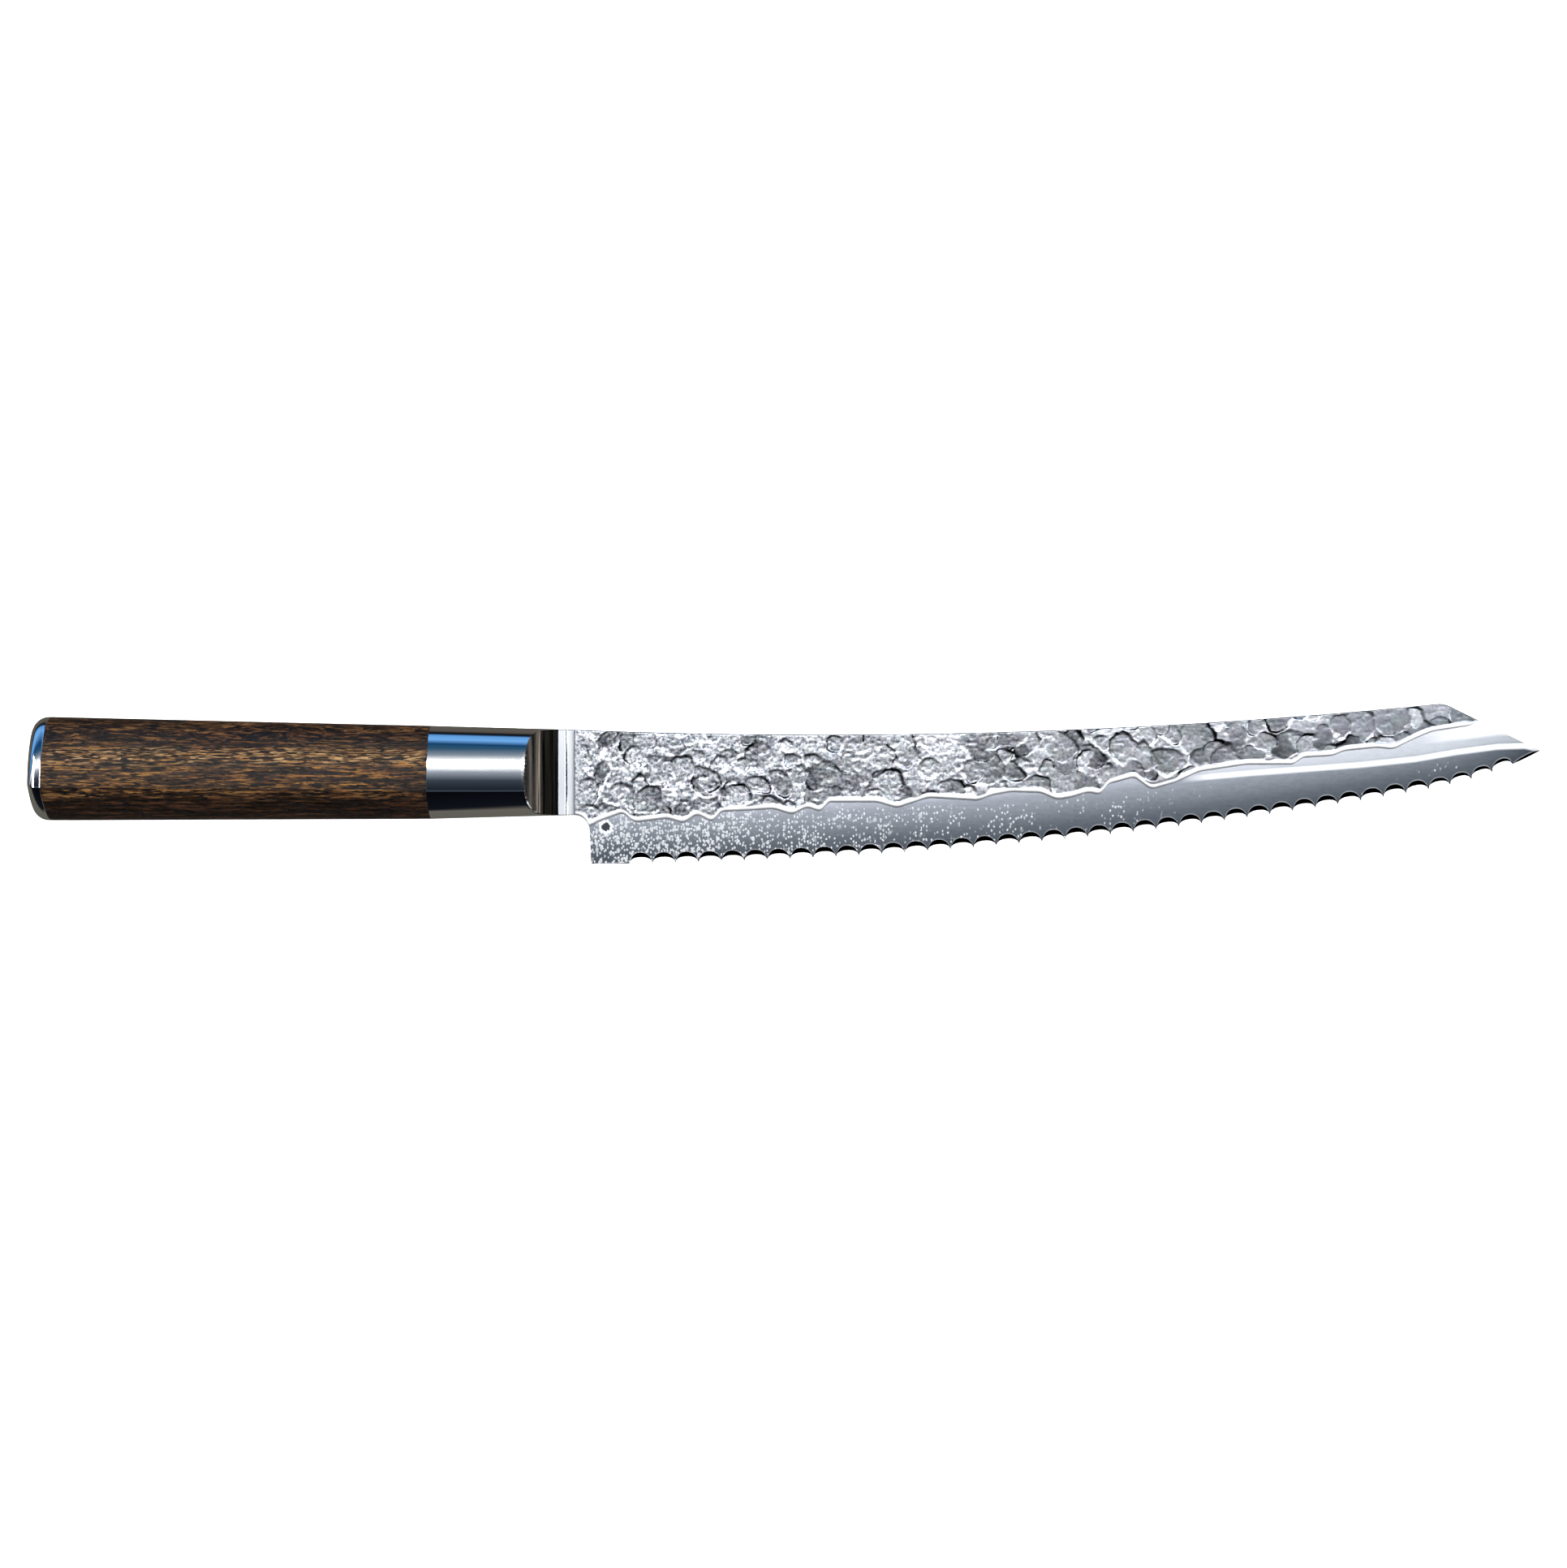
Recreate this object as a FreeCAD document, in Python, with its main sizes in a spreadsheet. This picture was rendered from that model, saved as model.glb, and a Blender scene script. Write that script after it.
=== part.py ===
import FreeCAD, Part

import math
import os

import Sketcher

# Hammered bread knife, lying on its left side.
# +X runs along the blade to the tip, +Y to the spine and +Z out of the right face.
# Every body is drawn about the heel datum: X = 0 at the heel of the edge, Y = 0 on the
# handle's axis, Z = 0 on the blade's middle plane. One placement, shared by all the
# bodies, then puts the origin below the middle of the knife.

SIZES = [
    # blade, side view
    ("blade_length", 230.0),
    ("heel_depth", 22.1),
    ("heel_flat", 9.5),
    ("edge_start_angle", 0.62),
    ("edge_radius", 1190.0),
    ("tip_zone", 27.0),
    ("tip_radius", 90.0),
    ("neck_top", 10.3),
    ("neck_bottom", 10.4),
    ("choil_radius", 4.3),
    ("choil_drop", 4.4),
    ("choil_end_back", 0.22),
    ("spine_peak_back", 23.6),
    ("spine_peak_height", 16.7),
    ("spine_radius", 1500.0),
    ("spine_corner_radius", 6.5),
    # blade, layers and bevel
    ("core_thickness", 0.9),
    ("cladding_thickness", 0.55),
    ("edge_thickness", 0.24),
    ("bevel_height", 8.6),
    ("cladding_line_radius", 1036.0),
    ("cladding_heel_back", 0.86),
    ("cladding_heel_drop", 2.2),
    ("cladding_tip_back", 15.0),
    ("cladding_tip_rise", 12.9),
    ("cladding_slope_width", 1.0),
    ("cladding_edge_land", 0.011),
    # scallops
    ("scallop_pitch", 5.55),
    ("tip_scallop_pitch", 5.25),
    ("tip_plain_length", 7.4),
    ("scallop_depth", 1.5),
    ("scallop_slope", 20.0),
    # stub and tang
    ("stub_height", 14.0),
    ("stub_length", 20.0),
    ("stub_relief", 0.15),
    ("tang_height", 9.0),
    ("tang_thickness", 3.0),
    ("tang_length", 80.0),
    ("tang_slot_clearance", 0.02),
    ("stud_radius", 2.5),
    # bolster
    ("neck_gap", 3.6),
    ("bolster_length", 34.9),
    ("bolster_rear_height", 22.6),
    ("bolster_front_height", 20.7),
    ("bolster_rear_ridge", 8.5),
    ("bolster_front_ridge", 8.2),
    ("collar_length", 4.1),
    ("collar_half_thickness", 1.5),
    ("scoop_radius", 7.5),
    # grip
    ("grip_length", 91.8),
    ("butt_height", 25.1),
    ("butt_ridge", 9.5),
    ("butt_rise", 0.9),
    ("ridge_drop", 4.7),
    ("section_corner_radius", 6.8),
    ("ridge_flank_radius", 24.0),
    ("left_side_radius", 400.0),
    ("bedding_wall", 1.0),
    ("bedding_end", 2.0),
    ("stud_hole_radius", 3.0),
    ("nut_bore_radius", 5.5),
    ("nut_bore_depth", 11.0),
    # fasteners
    ("washer_radius", 5.0),
    ("washer_thickness", 1.0),
    ("spring_washer_thickness", 0.5),
    ("spring_washer_rise", 0.4),
    ("nut_flats", 8.0),
    ("nut_thickness", 4.0),
    ("thread_clearance", 0.02),
    ("washer_clearance", 0.15),
    # end cap
    ("cap_length", 3.9),
    ("cap_rim_radius", 3.2),
    ("cap_bore_depth", 2.2),
    ("dowel_radius", 1.0),
    ("dowel_spacing", 17.0),
    ("dowel_in_grip", 5.0),
    ("dowel_in_cap", 1.4),
    ("dowel_clearance", 0.02),
    # how far cutters run past what they cut
    ("cutter_margin", 1.0),
    ("cutter_overrun", 20.0),
    ("cutter_tip_angle", 5.0),
    ("scallop_cutter_length", 120.0),
]

# Sizes that follow from the ones above. Angles are in degrees.
DERIVED = [
    # edge: a short flat, a long arc of the scallops, and a tighter arc up to the tip
    ("edge_centre_x", "Sizes.heel_flat - Sizes.edge_radius * sin(Sizes.edge_start_angle)"),
    ("edge_centre_y", "Sizes.edge_radius * cos(Sizes.edge_start_angle) - Sizes.heel_depth"),
    ("tip_arc_x", "Sizes.blade_length - Sizes.tip_zone"),
    ("edge_end_angle",
     "asin((Derived.tip_arc_x - Derived.edge_centre_x) / Sizes.edge_radius) / 1 deg"),
    ("tip_arc_y", "Derived.edge_centre_y - Sizes.edge_radius * cos(Derived.edge_end_angle)"),
    ("tip_centre_x", "Derived.tip_arc_x - Sizes.tip_radius * sin(Derived.edge_end_angle)"),
    ("tip_centre_y", "Derived.tip_arc_y + Sizes.tip_radius * cos(Derived.edge_end_angle)"),
    ("tip_angle",
     "asin((Sizes.blade_length - Derived.tip_centre_x) / Sizes.tip_radius) / 1 deg"),
    ("tip_y", "Derived.tip_centre_y - Sizes.tip_radius * cos(Derived.tip_angle)"),
    ("heel_y", "-Sizes.heel_depth - Sizes.heel_flat * tan(Sizes.edge_start_angle)"),
    # scallops: as many whole ones as each arc holds
    ("edge_sweep", "Derived.edge_end_angle - Sizes.edge_start_angle"),
    ("scallops",
     "round(Derived.edge_sweep * pi / 180 * Sizes.edge_radius / Sizes.scallop_pitch)"),
    ("scallop_angle", "Derived.edge_sweep / Derived.scallops"),
    ("tip_sweep",
     "Derived.tip_angle - Derived.edge_end_angle"
     " - Sizes.tip_plain_length / Sizes.tip_radius * 180 / pi"),
    ("tip_scallops",
     "max(2; floor(Derived.tip_sweep * pi / 180 * Sizes.tip_radius"
     " / Sizes.tip_scallop_pitch + 0.5))"),
    ("tip_scallop_angle", "Derived.tip_sweep / Derived.tip_scallops"),
    ("scallop_radius",
     "(Sizes.scallop_pitch / 2) ^ 2 / (2 * Sizes.scallop_depth * sin(Sizes.scallop_slope))"
     " + Sizes.scallop_depth * sin(Sizes.scallop_slope) / 2"),
    # blade thickness
    ("core_half", "Sizes.core_thickness / 2"),
    ("edge_half", "Sizes.edge_thickness / 2"),
    ("blade_half", "Derived.core_half + Sizes.cladding_thickness"),
    ("stub_half", "Derived.blade_half - Sizes.stub_relief"),
    # stations along the handle
    ("shoulder_x", "-Sizes.neck_gap"),
    ("stub_x", "Derived.shoulder_x - Sizes.stub_length"),
    ("tang_end_x", "Derived.stub_x - Sizes.tang_length"),
    ("joint_x", "Derived.shoulder_x - Sizes.bolster_length"),
    ("grip_end_x", "Derived.joint_x - Sizes.grip_length"),
    ("butt_x", "Derived.grip_end_x - Sizes.cap_length"),
    ("bedding_end_x", "Derived.tang_end_x - Sizes.bedding_end"),
    ("nut_seat_x", "Derived.grip_end_x + Sizes.nut_bore_depth"),
    ("spring_seat_x", "Derived.nut_seat_x - Sizes.washer_thickness"),
    ("nut_x",
     "Derived.spring_seat_x - Sizes.spring_washer_thickness - Sizes.spring_washer_rise"),
    ("stud_end_x", "Derived.grip_end_x - Sizes.cap_bore_depth"),
    # placement of the whole knife
    ("shift_x", "-(Sizes.blade_length + Derived.butt_x) / 2"),
    ("shift_y", "-(Sizes.spine_peak_height + Derived.heel_y) / 2"),
    ("shift_z",
     "Sizes.left_side_radius"
     " - sqrt((Sizes.left_side_radius - Sizes.section_corner_radius) ^ 2"
     " - (Sizes.butt_height / 2 - Sizes.section_corner_radius) ^ 2)"),
]

RIGHT = 1
LEFT = -1

doc = FreeCAD.newDocument("bread_knife")


def make_sizes():
    """The driving sizes, one aliased cell each."""
    sheet = doc.addObject("Spreadsheet::Sheet", "Sizes")
    for row, (alias, value) in enumerate(SIZES, start=1):
        sheet.set("A%d" % row, alias)
        sheet.set("B%d" % row, str(value))
        sheet.setAlias("B%d" % row, alias)
    doc.recompute()
    return sheet


def make_derived():
    """The sizes that follow from the sheet."""
    derived = doc.addObject("App::VarSet", "Derived")
    for name, formula in DERIVED:
        derived.addProperty("App::PropertyFloat", name)
        derived.setExpression(name, formula)
        doc.recompute()
    return derived


sizes = make_sizes()
derived = make_derived()


def value(formula):
    """The present value of a formula of sheet and derived sizes."""
    return float(derived.evalExpression(formula))


def point(pair):
    """The vector for a pair of formulas."""
    return FreeCAD.Vector(value(pair[0]), value(pair[1]), 0)


def new_body(label):
    """An empty body, placed with all the others."""
    body = doc.addObject("PartDesign::Body", label)
    body.Label = label
    for axis in ("x", "y", "z"):
        body.setExpression("Placement.Base." + axis, "Derived.shift_" + axis)
    return body


def new_sketch(body, name, plane, offset="0", shift=None, tilt=None):
    """A sketch on an origin plane, moved off it by offset, and turned by tilt about its X."""
    sketch = body.newObject("Sketcher::SketchObject", body.Label + "_" + name)
    role = plane + "_Plane"
    support = [f for f in body.Origin.OriginFeatures if f.Role == role][0]
    sketch.AttachmentSupport = [(support, "")]
    sketch.MapMode = "FlatFace"
    sketch.setExpression(".AttachmentOffset.Base.z", offset)
    if shift:
        sketch.setExpression(".AttachmentOffset.Base.x", shift[0])
        sketch.setExpression(".AttachmentOffset.Base.y", shift[1])
    if tilt:
        turn = FreeCAD.Rotation(FreeCAD.Vector(1, 0, 0), 1)
        sketch.AttachmentOffset = FreeCAD.Placement(sketch.AttachmentOffset.Base, turn)
        sketch.setExpression(".AttachmentOffset.Rotation.Angle", tilt)
    return sketch


def pin_point(sketch, geometry, end, pair):
    """Hold one end of a curve at a pair of formulas."""
    for kind, formula in zip(("DistanceX", "DistanceY"), pair):
        number = value(formula)
        index = sketch.addConstraint(
            Sketcher.Constraint(kind, -1, 1, geometry, end, number))
        sketch.setExpression("Constraints[%d]" % index, formula)


def arc_through(start, end, radius, turn):
    """The shorter arc from start to end. turn is 1 with its centre on the left, or -1."""
    chord = end - start
    left = FreeCAD.Vector(-chord.y, chord.x, 0).normalize()
    height = math.sqrt(radius ** 2 - (chord.Length / 2) ** 2)
    centre = start + chord * 0.5 + left * (turn * height)
    first, last = (start, end) if turn > 0 else (end, start)
    angles = [math.atan2(p.y - centre.y, p.x - centre.x) for p in (first, last)]
    if angles[1] < angles[0]:
        angles[1] += 2 * math.pi
    circle = Part.Circle(centre, FreeCAD.Vector(0, 0, 1), radius)
    return Part.ArcOfCircle(circle, angles[0], angles[1])


def outline(sketch, points, curves=None, closed=True):
    """Draw a chain through points. curves[i] = (radius formula, turn) bends side i."""
    curves = curves or {}
    count = len(points)
    sides = count if closed else count - 1
    ends = []
    for side in range(sides):
        pair = points[side]
        following = points[(side + 1) % count]
        start = point(pair)
        end = point(following)
        if side in curves:
            radius, turn = curves[side]
            index = sketch.addGeometry(arc_through(start, end, value(radius), turn))
            first, last = (1, 2) if turn > 0 else (2, 1)
            bound = sketch.addConstraint(
                Sketcher.Constraint("Radius", index, value(radius)))
            sketch.setExpression("Constraints[%d]" % bound, radius)
        else:
            index = sketch.addGeometry(Part.LineSegment(start, end))
            first, last = 1, 2
        pin_point(sketch, index, first, pair)
        ends.append((index, first, last))
    for side in range(sides - (0 if closed else 1)):
        index, _, last = ends[side]
        next_index, first, _ = ends[(side + 1) % sides]
        sketch.addConstraint(Sketcher.Constraint("Coincident", index, last, next_index, first))
    if not closed:
        index, _, last = ends[-1]
        pin_point(sketch, index, last, points[-1])
    return sketch


def circle(sketch, radius, centre=("0", "0")):
    """Draw a circle."""
    index = sketch.addGeometry(
        Part.Circle(point(centre), FreeCAD.Vector(0, 0, 1), value(radius)))
    pin_point(sketch, index, 3, centre)
    bound = sketch.addConstraint(Sketcher.Constraint("Radius", index, value(radius)))
    sketch.setExpression("Constraints[%d]" % bound, radius)
    return sketch


def rectangle(sketch, width, height):
    """Draw a rectangle about the sketch's origin."""
    half_w = "(%s) / 2" % width
    half_h = "(%s) / 2" % height
    corners = [("-" + half_w, "-" + half_h), (half_w, "-" + half_h),
               (half_w, half_h), ("-" + half_w, half_h)]
    return outline(sketch, corners)


def pad(body, sketch, length, name, reverse=False, midplane=False):
    """Pad a sketch by a formula."""
    feature = body.newObject("PartDesign::Pad", body.Label + "_" + name)
    feature.Profile = sketch
    feature.setExpression("Length", length)
    feature.Reversed = reverse
    feature.Midplane = midplane
    doc.recompute()
    return feature


def cut(body, kind, name, setup):
    """Add a feature that must take material away."""
    before = body.Shape.Volume
    feature = body.newObject("PartDesign::" + kind, body.Label + "_" + name)
    setup(feature)
    doc.recompute()
    if not feature.Shape.Volume < before - 1e-6:
        raise RuntimeError(feature.Label + " cuts nothing")
    return feature


def pocket(body, sketch, name, length=None, reverse=False, midplane=False):
    """Pocket a sketch by a formula, or through everything."""
    def setup(feature):
        feature.Profile = sketch
        if length is None:
            feature.Type = "ThroughAll"
        else:
            feature.setExpression("Length", length)
        feature.Reversed = reverse
        feature.Midplane = midplane
    return cut(body, "Pocket", name, setup)


def blade_outline(body, offset):
    """Side view of the blade with its stub, before bevels and scallops."""
    half_stub = "Sizes.stub_height / 2"
    sketch = new_sketch(body, "outline", "XY", offset)
    points = [
        ("Derived.stub_x", "-" + half_stub),
        ("Derived.shoulder_x", "-" + half_stub),
        ("Derived.shoulder_x", "-Sizes.neck_bottom"),
        ("-Sizes.choil_end_back", "-Sizes.neck_bottom - Sizes.choil_drop"),
        ("0", "Derived.heel_y"),
        ("Sizes.heel_flat", "-Sizes.heel_depth"),
        ("Derived.tip_arc_x", "Derived.tip_arc_y"),
        ("Sizes.blade_length", "Derived.tip_y"),
        ("Sizes.blade_length - Sizes.spine_peak_back", "Sizes.spine_peak_height"),
        ("Derived.shoulder_x", "Sizes.neck_top"),
        ("Derived.shoulder_x", half_stub),
        ("Derived.stub_x", half_stub),
    ]
    curves = {
        2: ("Sizes.choil_radius", -1),
        5: ("Sizes.edge_radius", 1),
        6: ("Sizes.tip_radius", 1),
        8: ("Sizes.spine_radius", -1),
    }
    return outline(sketch, points, curves)


def round_spine_corner(body, base):
    """Round the corner where the spine meets the slope down to the tip."""
    peak_x = value("Sizes.blade_length - Sizes.spine_peak_back")
    peak_y = value("Sizes.spine_peak_height")
    for number, edge in enumerate(base.Shape.Edges, start=1):
        middle = edge.CenterOfMass
        if abs(middle.x - peak_x) + abs(middle.y - peak_y) < 1e-3:
            fillet = body.newObject("PartDesign::Fillet", body.Label + "_spine_corner")
            fillet.Base = (base, ["Edge%d" % number])
            fillet.setExpression("Radius", "Sizes.spine_corner_radius")
            doc.recompute()
            return fillet
    raise RuntimeError("no spine corner on " + body.Label)


def core_steel():
    """The hard middle layer, with its bevels and scallops."""
    body = new_body("core_steel")
    sketch = blade_outline(body, "0")
    base = pad(body, sketch, "Sizes.core_thickness", "pad", midplane=True)
    round_spine_corner(body, base)
    # Each bevel is a wedge cutter swept along the edge, past both of its ends.
    overrun = "Sizes.bevel_height"
    path = new_sketch(body, "edge_path", "XY")
    over_angle = "(Derived.tip_angle + Sizes.cutter_tip_angle)"
    points = [
        ("-" + overrun, "-Sizes.heel_depth - (Sizes.heel_flat + %s)"
         " * tan(Sizes.edge_start_angle)" % overrun),
        ("Sizes.heel_flat", "-Sizes.heel_depth"),
        ("Derived.tip_arc_x", "Derived.tip_arc_y"),
        ("Derived.tip_centre_x + Sizes.tip_radius * sin%s" % over_angle,
         "Derived.tip_centre_y - Sizes.tip_radius * cos%s" % over_angle),
    ]
    outline(path, points,
            {1: ("Sizes.edge_radius", 1), 2: ("Sizes.tip_radius", 1)}, closed=False)
    below = "(%s - Sizes.cutter_margin)" % points[0][1]
    top = "(%s + Sizes.bevel_height)" % points[0][1]
    slope = "((Derived.core_half - Derived.edge_half) / Sizes.bevel_height)"
    for side, word in ((RIGHT, "right"), (LEFT, "left")):
        wedge = new_sketch(body, "bevel_wedge_" + word, "YZ", points[0][0])
        sign = "" if side == RIGHT else "-"
        outer = sign + "(Derived.core_half + Sizes.cutter_margin)"
        outline(wedge, [
            (below, sign + "(Derived.edge_half - %s * Sizes.cutter_margin)" % slope),
            (top, sign + "Derived.core_half"),
            (top, outer),
            (below, outer),
        ])

        def setup(feature, wedge=wedge):
            feature.Profile = wedge
            feature.Spine = (path, ["Edge1", "Edge2", "Edge3"])
        cut(body, "SubtractivePipe", "bevel_" + word, setup)
    scallop_run(body, "main", "edge", "Sizes.edge_radius",
                "Sizes.edge_start_angle", "Derived.scallop_angle", "Derived.scallops")
    scallop_run(body, "tip", "tip", "Sizes.tip_radius",
                "Derived.edge_end_angle", "Derived.tip_scallop_angle",
                "Derived.tip_scallops")
    return body


def scallop_run(body, word, centre, radius, start, step, count):
    """Scallops along one arc of the edge. A round cutter leans towards the spine on its
    way to the right face, so every scallop is a hollow bevel on that face."""
    centre_x = "Derived.%s_centre_x" % centre
    centre_y = "Derived.%s_centre_y" % centre
    hub = new_sketch(body, word + "_hub", "XY", "0", (centre_x, centre_y))
    first = "(%s + %s / 2)" % (start, step)
    reach = ("(%s - Sizes.scallop_depth + Derived.scallop_radius / sin(Sizes.scallop_slope))"
             % radius)
    sketch = new_sketch(body, word + "_scallop", "XY", "-Derived.edge_half",
                        ("%s + %s * sin%s" % (centre_x, reach, first),
                         "%s - %s * cos%s" % (centre_y, reach, first)))
    sketch.setExpression(".AttachmentOffset.Rotation.Yaw", first)
    sketch.setExpression(".AttachmentOffset.Rotation.Roll", "Sizes.scallop_slope - 90")
    circle(sketch, "Derived.scallop_radius")
    cutter = pocket(body, sketch, word + "_scallop_cut",
                    "Sizes.scallop_cutter_length", midplane=True)

    def setup(feature):
        feature.Originals = [cutter]
        feature.Axis = (hub, ["N_Axis"])
        feature.setExpression("Occurrences", count)
        feature.setExpression("Angle", "%s * (%s - 1)" % (step, count))
        body.Tip = feature
    return cut(body, "PolarPattern", word + "_scallops", setup)


def cladding(label, side):
    """One hammered outer layer. Its lower edge slopes down to the bare core."""
    body = new_body(label)
    inner = "Derived.core_half" if side == RIGHT else "-Derived.core_half"
    sketch = blade_outline(body, inner)
    base = pad(body, sketch, "Sizes.cladding_thickness", "pad", reverse=side == LEFT)
    round_spine_corner(body, base)
    start = ("-Sizes.cladding_heel_back", "-Sizes.neck_bottom - Sizes.cladding_heel_drop")
    end = ("Sizes.blade_length - Sizes.cladding_tip_back + Sizes.cladding_slope_width",
           "Sizes.cladding_tip_rise + Sizes.cladding_slope_width / 2")
    far_right = "Sizes.blade_length + Sizes.cutter_overrun"
    far_below = "Derived.heel_y - Sizes.cutter_overrun"
    line = new_sketch(body, "line", "XY", inner)
    outline(line, [start, end, (far_right, end[1]), (far_right, far_below),
                   (start[0], far_below)],
            {0: ("Sizes.cladding_line_radius", 1)})
    pocket(body, line, "ground_away",
           "2 * (Sizes.cladding_thickness + Sizes.cutter_margin)", midplane=True)
    # The stub is ground a little thinner, so that the shoulder seats all round.
    outer = "Derived.blade_half" if side == RIGHT else "-Derived.blade_half"
    relief = new_sketch(body, "stub_relief", "XY", outer,
                        ("(Derived.stub_x + Derived.shoulder_x) / 2", "0"))
    rectangle(relief, "Sizes.stub_length", "Sizes.stub_height + Sizes.cutter_margin")
    low = pocket(body, relief, "stub_relief_cut", "2 * Sizes.stub_relief", midplane=True)
    outer_z = value(outer)
    for number, edge in enumerate(low.Shape.Edges, start=1):
        flat = abs(edge.CenterOfMass.z - outer_z) < 1e-6
        if flat and abs(getattr(edge.Curve, "Radius", 0) - value(
                "Sizes.cladding_line_radius")) < 1e-3:
            slope = body.newObject("PartDesign::Chamfer", label + "_slope")
            slope.Base = (low, ["Edge%d" % number])
            slope.ChamferType = 1
            slope.setExpression("Size", "Sizes.cladding_slope_width")
            slope.setExpression("Size2",
                                "Sizes.cladding_thickness - Sizes.cladding_edge_land")
            doc.recompute()
    return body


def handle_section(body, name, station, height, ridge_out, rise):
    """The handle's cross-section. Its left side is nearly flat, and its right side swells
    out to a low ridge."""
    sketch = new_sketch(body, name, "YZ", station, (rise, "0"))
    corner = "Sizes.section_corner_radius"
    reach = "(%s / 2 - %s)" % (height, corner)
    drop = "Sizes.ridge_drop"
    flank = "Sizes.ridge_flank_radius"
    left = "Sizes.left_side_radius"
    upper = ("(({w}) ^ 2 + ({c} + {k}) ^ 2 - {r} ^ 2) / (2 * ({w}) - 2 * {r})"
             .format(w=ridge_out, c=reach, k=drop, r=corner))
    # Starting shapes for the solver: every arc touches the next one.
    r = value(corner)
    c = value(reach)
    out = value(ridge_out)
    k = value(drop)
    upper_r = value(upper)
    left_r = value(left)
    flank_r = value(flank)
    axis = FreeCAD.Vector(0, 0, 1)
    top = FreeCAD.Vector(c, 0, 0)
    bottom = FreeCAD.Vector(-c, 0, 0)
    ridge = FreeCAD.Vector(-k, out, 0)
    upper_centre = FreeCAD.Vector(-k, out - upper_r, 0)
    left_centre = FreeCAD.Vector(0, math.sqrt((left_r - r) ** 2 - c ** 2), 0)
    flank_centre = circle_centre(ridge, bottom, flank_r, flank_r - r)
    centres = [top, upper_centre, flank_centre, bottom, left_centre]
    radii = [r, upper_r, flank_r, r, left_r]
    joints = [top + direction(left_centre, top) * r, top + direction(upper_centre, top) * r,
              ridge, bottom + direction(flank_centre, bottom) * r,
              bottom + direction(left_centre, bottom) * r]
    for centre, radius, start, end in zip(centres, radii, joints, joints[1:] + joints[:1]):
        angles = [math.atan2(p.y - centre.y, p.x - centre.x) for p in (start, end)]
        if angles[1] < angles[0]:
            angles[1] += 2 * math.pi
        sketch.addGeometry(
            Part.ArcOfCircle(Part.Circle(centre, axis, radius), angles[0], angles[1]))
    for first, second in ((0, 1), (2, 3), (3, 4), (4, 0)):
        sketch.addConstraint(Sketcher.Constraint("Tangent", first, 2, second, 1))
    sketch.addConstraint(Sketcher.Constraint("Coincident", 1, 2, 2, 1))
    pin_point(sketch, 1, 2, ("-" + drop, ridge_out))
    pin_point(sketch, 0, 3, (reach, "0"))
    pin_point(sketch, 3, 3, ("-" + reach, "0"))
    for index, formula in enumerate([corner, upper, flank, corner, left]):
        bound = sketch.addConstraint(Sketcher.Constraint("Radius", index, value(formula)))
        sketch.setExpression("Constraints[%d]" % bound, formula)
    return sketch


def direction(start, end):
    """The unit vector from start to end."""
    return (end - start).normalize()


def circle_centre(first, second, first_distance, second_distance):
    """The point at two given distances from two points, on the left of the way there."""
    along = second - first
    span = along.Length
    reach = (first_distance ** 2 - second_distance ** 2 + span ** 2) / (2 * span)
    side = math.sqrt(first_distance ** 2 - reach ** 2)
    along.normalize()
    left = FreeCAD.Vector(-along.y, along.x, 0)
    return first + along * reach + left * side


def loft(body, sections, name):
    """Loft through sketches."""
    feature = body.newObject("PartDesign::AdditiveLoft", body.Label + "_" + name)
    feature.Profile = sections[0]
    feature.Sections = sections[1:]
    feature.Ruled = True
    doc.recompute()
    return feature


def joint_section(body, name):
    """The section where the bolster meets the grip."""
    return handle_section(body, name, "Derived.joint_x", "Sizes.bolster_rear_height",
                          "Sizes.bolster_rear_ridge", "0")


def bolster():
    """The polished collar, scooped on both sides down to a thin neck."""
    body = new_body("bolster")
    rear = joint_section(body, "rear")
    front = handle_section(body, "front", "Derived.shoulder_x",
                           "Sizes.bolster_front_height", "Sizes.bolster_front_ridge", "0")
    loft(body, [rear, front], "loft")
    collar_end = "(Derived.shoulder_x - Sizes.collar_length)"
    front_x = "(Derived.shoulder_x + Sizes.cutter_margin)"
    for side, word in ((RIGHT, "right"), (LEFT, "left")):
        sign = "" if side == RIGHT else "-"
        low = sign + "Sizes.collar_half_thickness"
        high = sign + "(Sizes.collar_half_thickness + Sizes.scoop_radius)"
        plan = new_sketch(body, "scoop_" + word, "XZ")
        outline(plan, [
            (collar_end, low), (front_x, low), (front_x, high),
            (collar_end + " - Sizes.scoop_radius", high)],
            {3: ("Sizes.scoop_radius", side)})
        pocket(body, plan, "scoop_cut_" + word,
               "Sizes.bolster_rear_height + 2 * Sizes.cutter_margin", midplane=True)
    slot = new_sketch(body, "stub_slot", "YZ", "Derived.shoulder_x")
    rectangle(slot, "Sizes.stub_height + 2 * Sizes.tang_slot_clearance",
              "2 * Derived.stub_half + 2 * Sizes.tang_slot_clearance")
    pocket(body, slot, "stub_slot_cut", "Sizes.stub_length")
    hole = new_sketch(body, "tang_hole", "YZ", "Derived.joint_x")
    rectangle(hole, "Sizes.tang_height + 2 * Sizes.tang_slot_clearance",
              "Sizes.tang_thickness + 2 * Sizes.tang_slot_clearance")
    pocket(body, hole, "tang_hole_cut", "Sizes.bolster_length - Sizes.stub_length",
           reverse=True)
    return body


def butt_section(body, name):
    """The section where the grip meets the end cap."""
    return handle_section(body, name, "Derived.grip_end_x", "Sizes.butt_height",
                          "Sizes.butt_ridge", "Sizes.butt_rise")


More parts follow.
